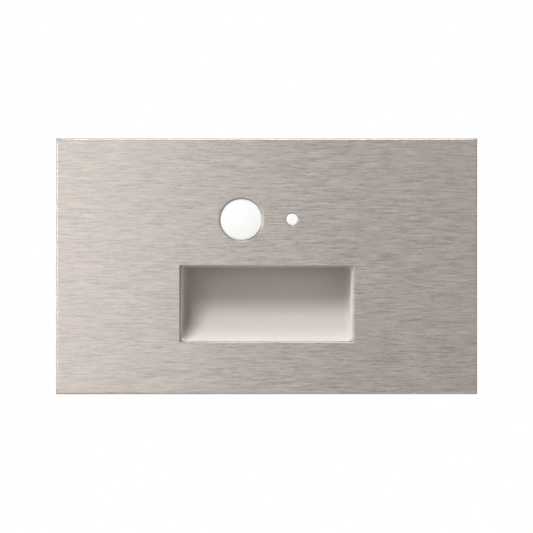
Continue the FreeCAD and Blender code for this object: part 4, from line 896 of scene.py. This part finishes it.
class STEPLIGHT_OT_screws(Operator):
    """Model the domed cross-recess screws, one of each kind, and copy them to their places"""

    bl_idname = "steplight.screws"
    bl_label = "Screws"

    # The head from its top to its seat, as shares of its height and of its radius.
    DOME = ((0.0, 0.5), (0.03, 0.66), (0.10, 0.8), (0.22, 0.91), (0.40, 0.975), (0.62, 1.0),
            (0.95, 1.0), (1.0, 0.98))
    # The cross: half width and reach as shares of the radius, depth and start of the height.
    CROSS_HALF, CROSS_REACH, CROSS_DEPTH, CROSS_START = 0.13, 0.47, 0.62, 0.4
    CROSS_TAPER = 0.55
    # The tip, as shares of the shank's radius: its length and its end.
    TIP_LENGTH, TIP_END = 0.6, 0.55

    def execute(self, context):
        size = context.scene.step_light_sizes
        case = (size.case_shank, size.case_head, size.case_head_height)
        board = (size.board_shank, size.board_head, size.board_head_height)
        for node, kind, direction, slot in (
                ("strap_screws", case, 1, "screw_steel"), ("earth_screw", case, 1, "earth_brass"),
                ("rear_cover_screws", case, -1, "screw_steel"),
                ("sensor_board_screws", board, -1, "screw_steel"),
                ("driver_board_screws", board, -1, "screw_steel")):
            self.place(node, kind, direction, slot)
        return {"FINISHED"}

    def place(self, node, kind, direction, slot):
        """Put one screw at each place of a node."""
        low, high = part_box(node)
        head = kind[1]
        xs, zs = [[(lo + hi) / 2] if hi - lo < 3 * head else [lo + head, hi - head]
                  for lo, hi in ((low.x, high.x), (low.z, high.z))]
        first = self.screw(low.y, high.y, direction, *kind)
        screws = [copied(first, x, z) for x in xs for z in zs]
        bpy.data.objects.remove(first)
        complete(joined(node + "_pan_head", screws), "fixture", slot, node)

    def screw(self, front, back, direction, shank, head, height):
        """A pan head screw on the y axis; direction is the way that it points."""
        top, tip = (front, back) if direction > 0 else (back, front)
        seat = top + direction * height
        dome = [(top + direction * height * drop, head * share) for drop, share in self.DOME]
        end = [(seat, shank), (tip - direction * self.TIP_LENGTH * shank, shank),
               (tip, self.TIP_END * shank)]
        piece = turned("screw", (0, 0), dome + end, 40)
        cut_away(piece, self.recess(top, direction, head, height))
        return piece

    def recess(self, top, direction, head, height):
        """The cross that the driver fits, narrower at its bottom."""
        half, reach = head * self.CROSS_HALF, head * self.CROSS_REACH
        bottom = top + direction * height * self.CROSS_DEPTH
        y = sorted((top - direction * height * self.CROSS_START, bottom))
        cross = block("screw_recess", (-half, half), y, (-half, half))
        for axis in (0, 2):
            for side in SIDES:
                pick(cross, "FACE", lambda face: side * face.normal[axis] > 0.9
                     and near(abs(middle(face)[axis]), half)
                     and near(middle(face)[2 - axis], 0.0))
                draw_out(**{"xyz"[axis]: side * reach})
        pick(cross, "FACE", lambda face: near(middle(face).y, bottom))
        bpy.ops.transform.resize(
            value=(self.CROSS_TAPER, 1, self.CROSS_TAPER), center_override=(0, bottom, 0))
        return cross


class STEPLIGHT_OT_capacitors(Operator):
    """Model the two capacitors with a crimped sleeve and a scored top"""

    bl_idname = "steplight.capacitors"
    bl_label = "Capacitors"

    # The sleeve from end to end, as shares of the height and of the radius.
    SLEEVE = ((0.0, 0.88), (0.03, 0.97), (0.07, 1.0), (0.13, 1.0), (0.16, 0.93), (0.19, 0.91),
              (0.22, 0.93), (0.25, 1.0), (0.93, 1.0), (0.97, 0.985), (0.99, 0.94), (1.0, 0.88),
              (0.995, 0.80), (0.985, 0.78), (0.985, 0.2))

    def execute(self, context):
        low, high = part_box("driver_capacitors")
        radius = (high.x - low.x) / 2
        x, z = (low.x + high.x) / 2, high.z - radius
        score_half, score_depth, score_reach = 0.1 * MM, 0.3 * MM, radius * 0.6
        sleeve = [(low.y + (high.y - low.y) * up, radius * share) for up, share in self.SLEEVE]
        first = turned("capacitor", (x, 0), sleeve, 64)
        for turn in range(2):
            groove = block("capacitor_score", (x - score_reach, x + score_reach),
                           (high.y - score_depth, high.y + score_depth), (-score_half, score_half))
            bpy.ops.transform.rotate(
                value=turn * math.pi / 2, orient_axis="Y", center_override=(x, high.y, 0))
            cut_away(first, groove)
        pair = [copied(first, 0, side * z) for side in SIDES]
        bpy.data.objects.remove(first)
        complete(joined("capacitors_sleeved", pair), "fixture", "capacitor_sleeve", "driver_capacitors")
        return {"FINISHED"}


class STEPLIGHT_OT_finishes(Operator):
    """Give every carried-over piece its finish"""

    bl_idname = "steplight.finishes"
    bl_label = "Finishes"

    def execute(self, context):
        slots = {entry["slot"] for entry in frame["record"]["materials"]}
        for node in frame["nodes"].values():
            for holder in node.material_slots:
                name = slot_name(holder.material)
                if name not in slots:
                    raise RuntimeError(f"{node.name} has no finish: {name}")
                holder.material = finish_of(name)
        return {"FINISHED"}


# ---------------------------------------------------------------- stage

class STEPLIGHT_OT_stage(Operator):
    """Set out the floor, the soft lamps, the white surround and the camera"""

    bl_idname = "steplight.stage"
    bl_label = "Stage"

    def execute(self, context):
        stage = context.scene.step_light_stage
        context.scene.view_settings.view_transform = "Standard"
        self.surround(context, stage.ambient)
        self.floor(-stage.floor_drop)
        for name, direction, width, power, card in (
                ("key_lamp", (17, 31, 1.0), 0.30, stage.key, False),
                ("top_lamp", (5, 58, 0.5), 0.20, stage.top, False),
                ("back_lamp", (205, 38, 1.0), 0.40, stage.back, False),
                ("fill_lamp", (15, 13, 1.0), 0.40, stage.fill, False),
                ("side_card", (22, 3, 0.4), 0.25, stage.side, True),
                ("upper_card", (0, 20, 0.5), 0.30, stage.upper, True),
                ("top_glint", (0, 66, 0.6), 0.26, stage.glints, True),
                ("left_glint", (62, 8, 0.6), 0.26, stage.glints, True)):
            self.lamp(name, direction, width, power, card)
        self.camera(context, stage.camera_distance)
        return {"FINISHED"}

    def background_mask(self, tree):
        """1 for rays that show the surround, straight on, in gloss or through glass."""
        path = add(tree, "LightPath")
        seen = maths(tree, "MAXIMUM", path.outputs["Is Camera Ray"], path.outputs["Is Glossy Ray"])
        return maths(tree, "MAXIMUM", seen, path.outputs["Is Transmission Ray"])

    def surround(self, context, ambient):
        """A white surround that lights the object only softly."""
        world = bpy.data.worlds.new("Studio")
        tree = emptied(world)
        world.cycles.sampling_method = "NONE"
        context.scene.world = world
        soft, white = [add(tree, "Background", {"Color": WHITE, "Strength": strength})
                       for strength in (ambient, 1.0)]
        mixed = add(
            tree, "MixShader", {0: self.background_mask(tree), 1: soft.outputs[0], 2: white.outputs[0]})
        add(tree, "OutputWorld", {"Surface": mixed.outputs[0]})

    def floor(self, height):
        """A pale round floor that fades out into the surround and doesn't show from below."""
        radius, fade_from, fade_to, glow_strength = 1.6, 0.9, 1.55, 0.5
        deselect()
        bpy.ops.mesh.primitive_circle_add(
            vertices=96, radius=radius, fill_type="NGON", location=(0, 0, height))
        floor = begin("floor")
        deselect()
        material = bpy.data.materials.new("pale_floor")
        tree = emptied(material)
        flat = vectors(tree, "MULTIPLY", object_place(tree), (1, 1, 0))
        fade = add(
            tree, "MapRange", {"Value": vectors(tree, "LENGTH", flat), "From Min": fade_from,
            "From Max": fade_to}, clamp=True).outputs["Result"]
        below = add(tree, "NewGeometry").outputs["Backfacing"]
        hidden = maths(tree, "MAXIMUM", fade, below)
        matt = add(tree, "BsdfDiffuse", {"Color": (0.82, 0.82, 0.82, 1)})
        strength = maths(tree, "MULTIPLY", self.background_mask(tree), glow_strength)
        glow = add(tree, "Emission", {"Color": WHITE, "Strength": strength})
        lit = add(tree, "AddShader", {0: matt.outputs[0], 1: glow.outputs[0]})
        clear = add(tree, "BsdfTransparent")
        mixed = add(tree, "MixShader", {0: hidden, 1: lit.outputs[0], 2: clear.outputs[0]})
        add(tree, "OutputMaterial", {"Surface": mixed.outputs[0]})
        floor.data.materials.append(material)

    def lamp(self, name, direction, width, power, card):
        """A lamp, or a card that only mirrors: degrees left of the front and up, metres away."""
        deselect()
        left, up = [math.radians(angle) for angle in direction[:2]]
        away = Vector((-math.sin(left) * math.cos(up), -math.cos(left) * math.cos(up), math.sin(up)))
        aim = (-away).to_track_quat("-Z", "Y").to_euler()
        bpy.ops.object.light_add(type="AREA", location=away * direction[2], rotation=aim)
        lamp = bpy.context.object
        lamp.name = lamp.data.name = name
        lamp.data.shape = "SQUARE"
        lamp.data.size = width
        lamp.data.energy = power
        lamp.visible_camera = False
        lamp.visible_glossy = card
        lamp.visible_diffuse = not card

    def camera(self, context, distance):
        """A long level lens, square on to the faceplate."""
        aside, down, view_width, sensor = -0.06 * MM, -0.03 * MM, 148.07 * MM, 36.0
        deselect()
        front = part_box("faceplate")[0].y
        bpy.ops.object.camera_add(location=(aside, front - distance, down), rotation=UPRIGHT)
        camera = bpy.context.object
        camera.name = camera.data.name = "front_camera"
        camera.data.sensor_width = sensor
        camera.data.lens = sensor * distance / view_width
        camera.data.clip_start, camera.data.clip_end = 0.05, 20.0
        context.scene.camera = camera


# ---------------------------------------------------------------- the add-on

PIECES = (
    STEPLIGHT_OT_faceplate, STEPLIGHT_OT_scoop, STEPLIGHT_OT_sensors, STEPLIGHT_OT_grommet,
    STEPLIGHT_OT_screws, STEPLIGHT_OT_capacitors, STEPLIGHT_OT_finishes, STEPLIGHT_OT_stage,
)


class STEPLIGHT_PT_panel(Panel):
    """Step light tools"""

    bl_label = "Step light"
    bl_idname = "STEPLIGHT_PT_panel"
    bl_space_type = "VIEW_3D"
    bl_region_type = "UI"
    bl_category = "Step light"

    def draw(self, context):
        scene = context.scene
        for piece in PIECES:
            self.layout.operator(piece.bl_idname)
        for settings in (scene.step_light_sizes, scene.step_light_finishes, scene.step_light_stage):
            box = self.layout.box()
            for name in settings.__annotations__:
                box.prop(settings, name)


SETTINGS = {
    "step_light_sizes": StepLightSizes,
    "step_light_finishes": StepLightFinishes,
    "step_light_stage": StepLightStage,
}


def register():
    for kind in (*SETTINGS.values(), *PIECES, STEPLIGHT_PT_panel):
        bpy.utils.register_class(kind)
    for name, kind in SETTINGS.items():
        setattr(bpy.types.Scene, name, PointerProperty(type=kind))


def unregister():
    for name in SETTINGS:
        delattr(bpy.types.Scene, name)
    for kind in reversed((*SETTINGS.values(), *PIECES, STEPLIGHT_PT_panel)):
        bpy.utils.unregister_class(kind)


def main():
    """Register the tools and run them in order."""
    register()
    for piece in PIECES:
        group, action = piece.bl_idname.split(".")
        getattr(getattr(bpy.ops, group), action)()


if __name__ == "__main__":
    main()
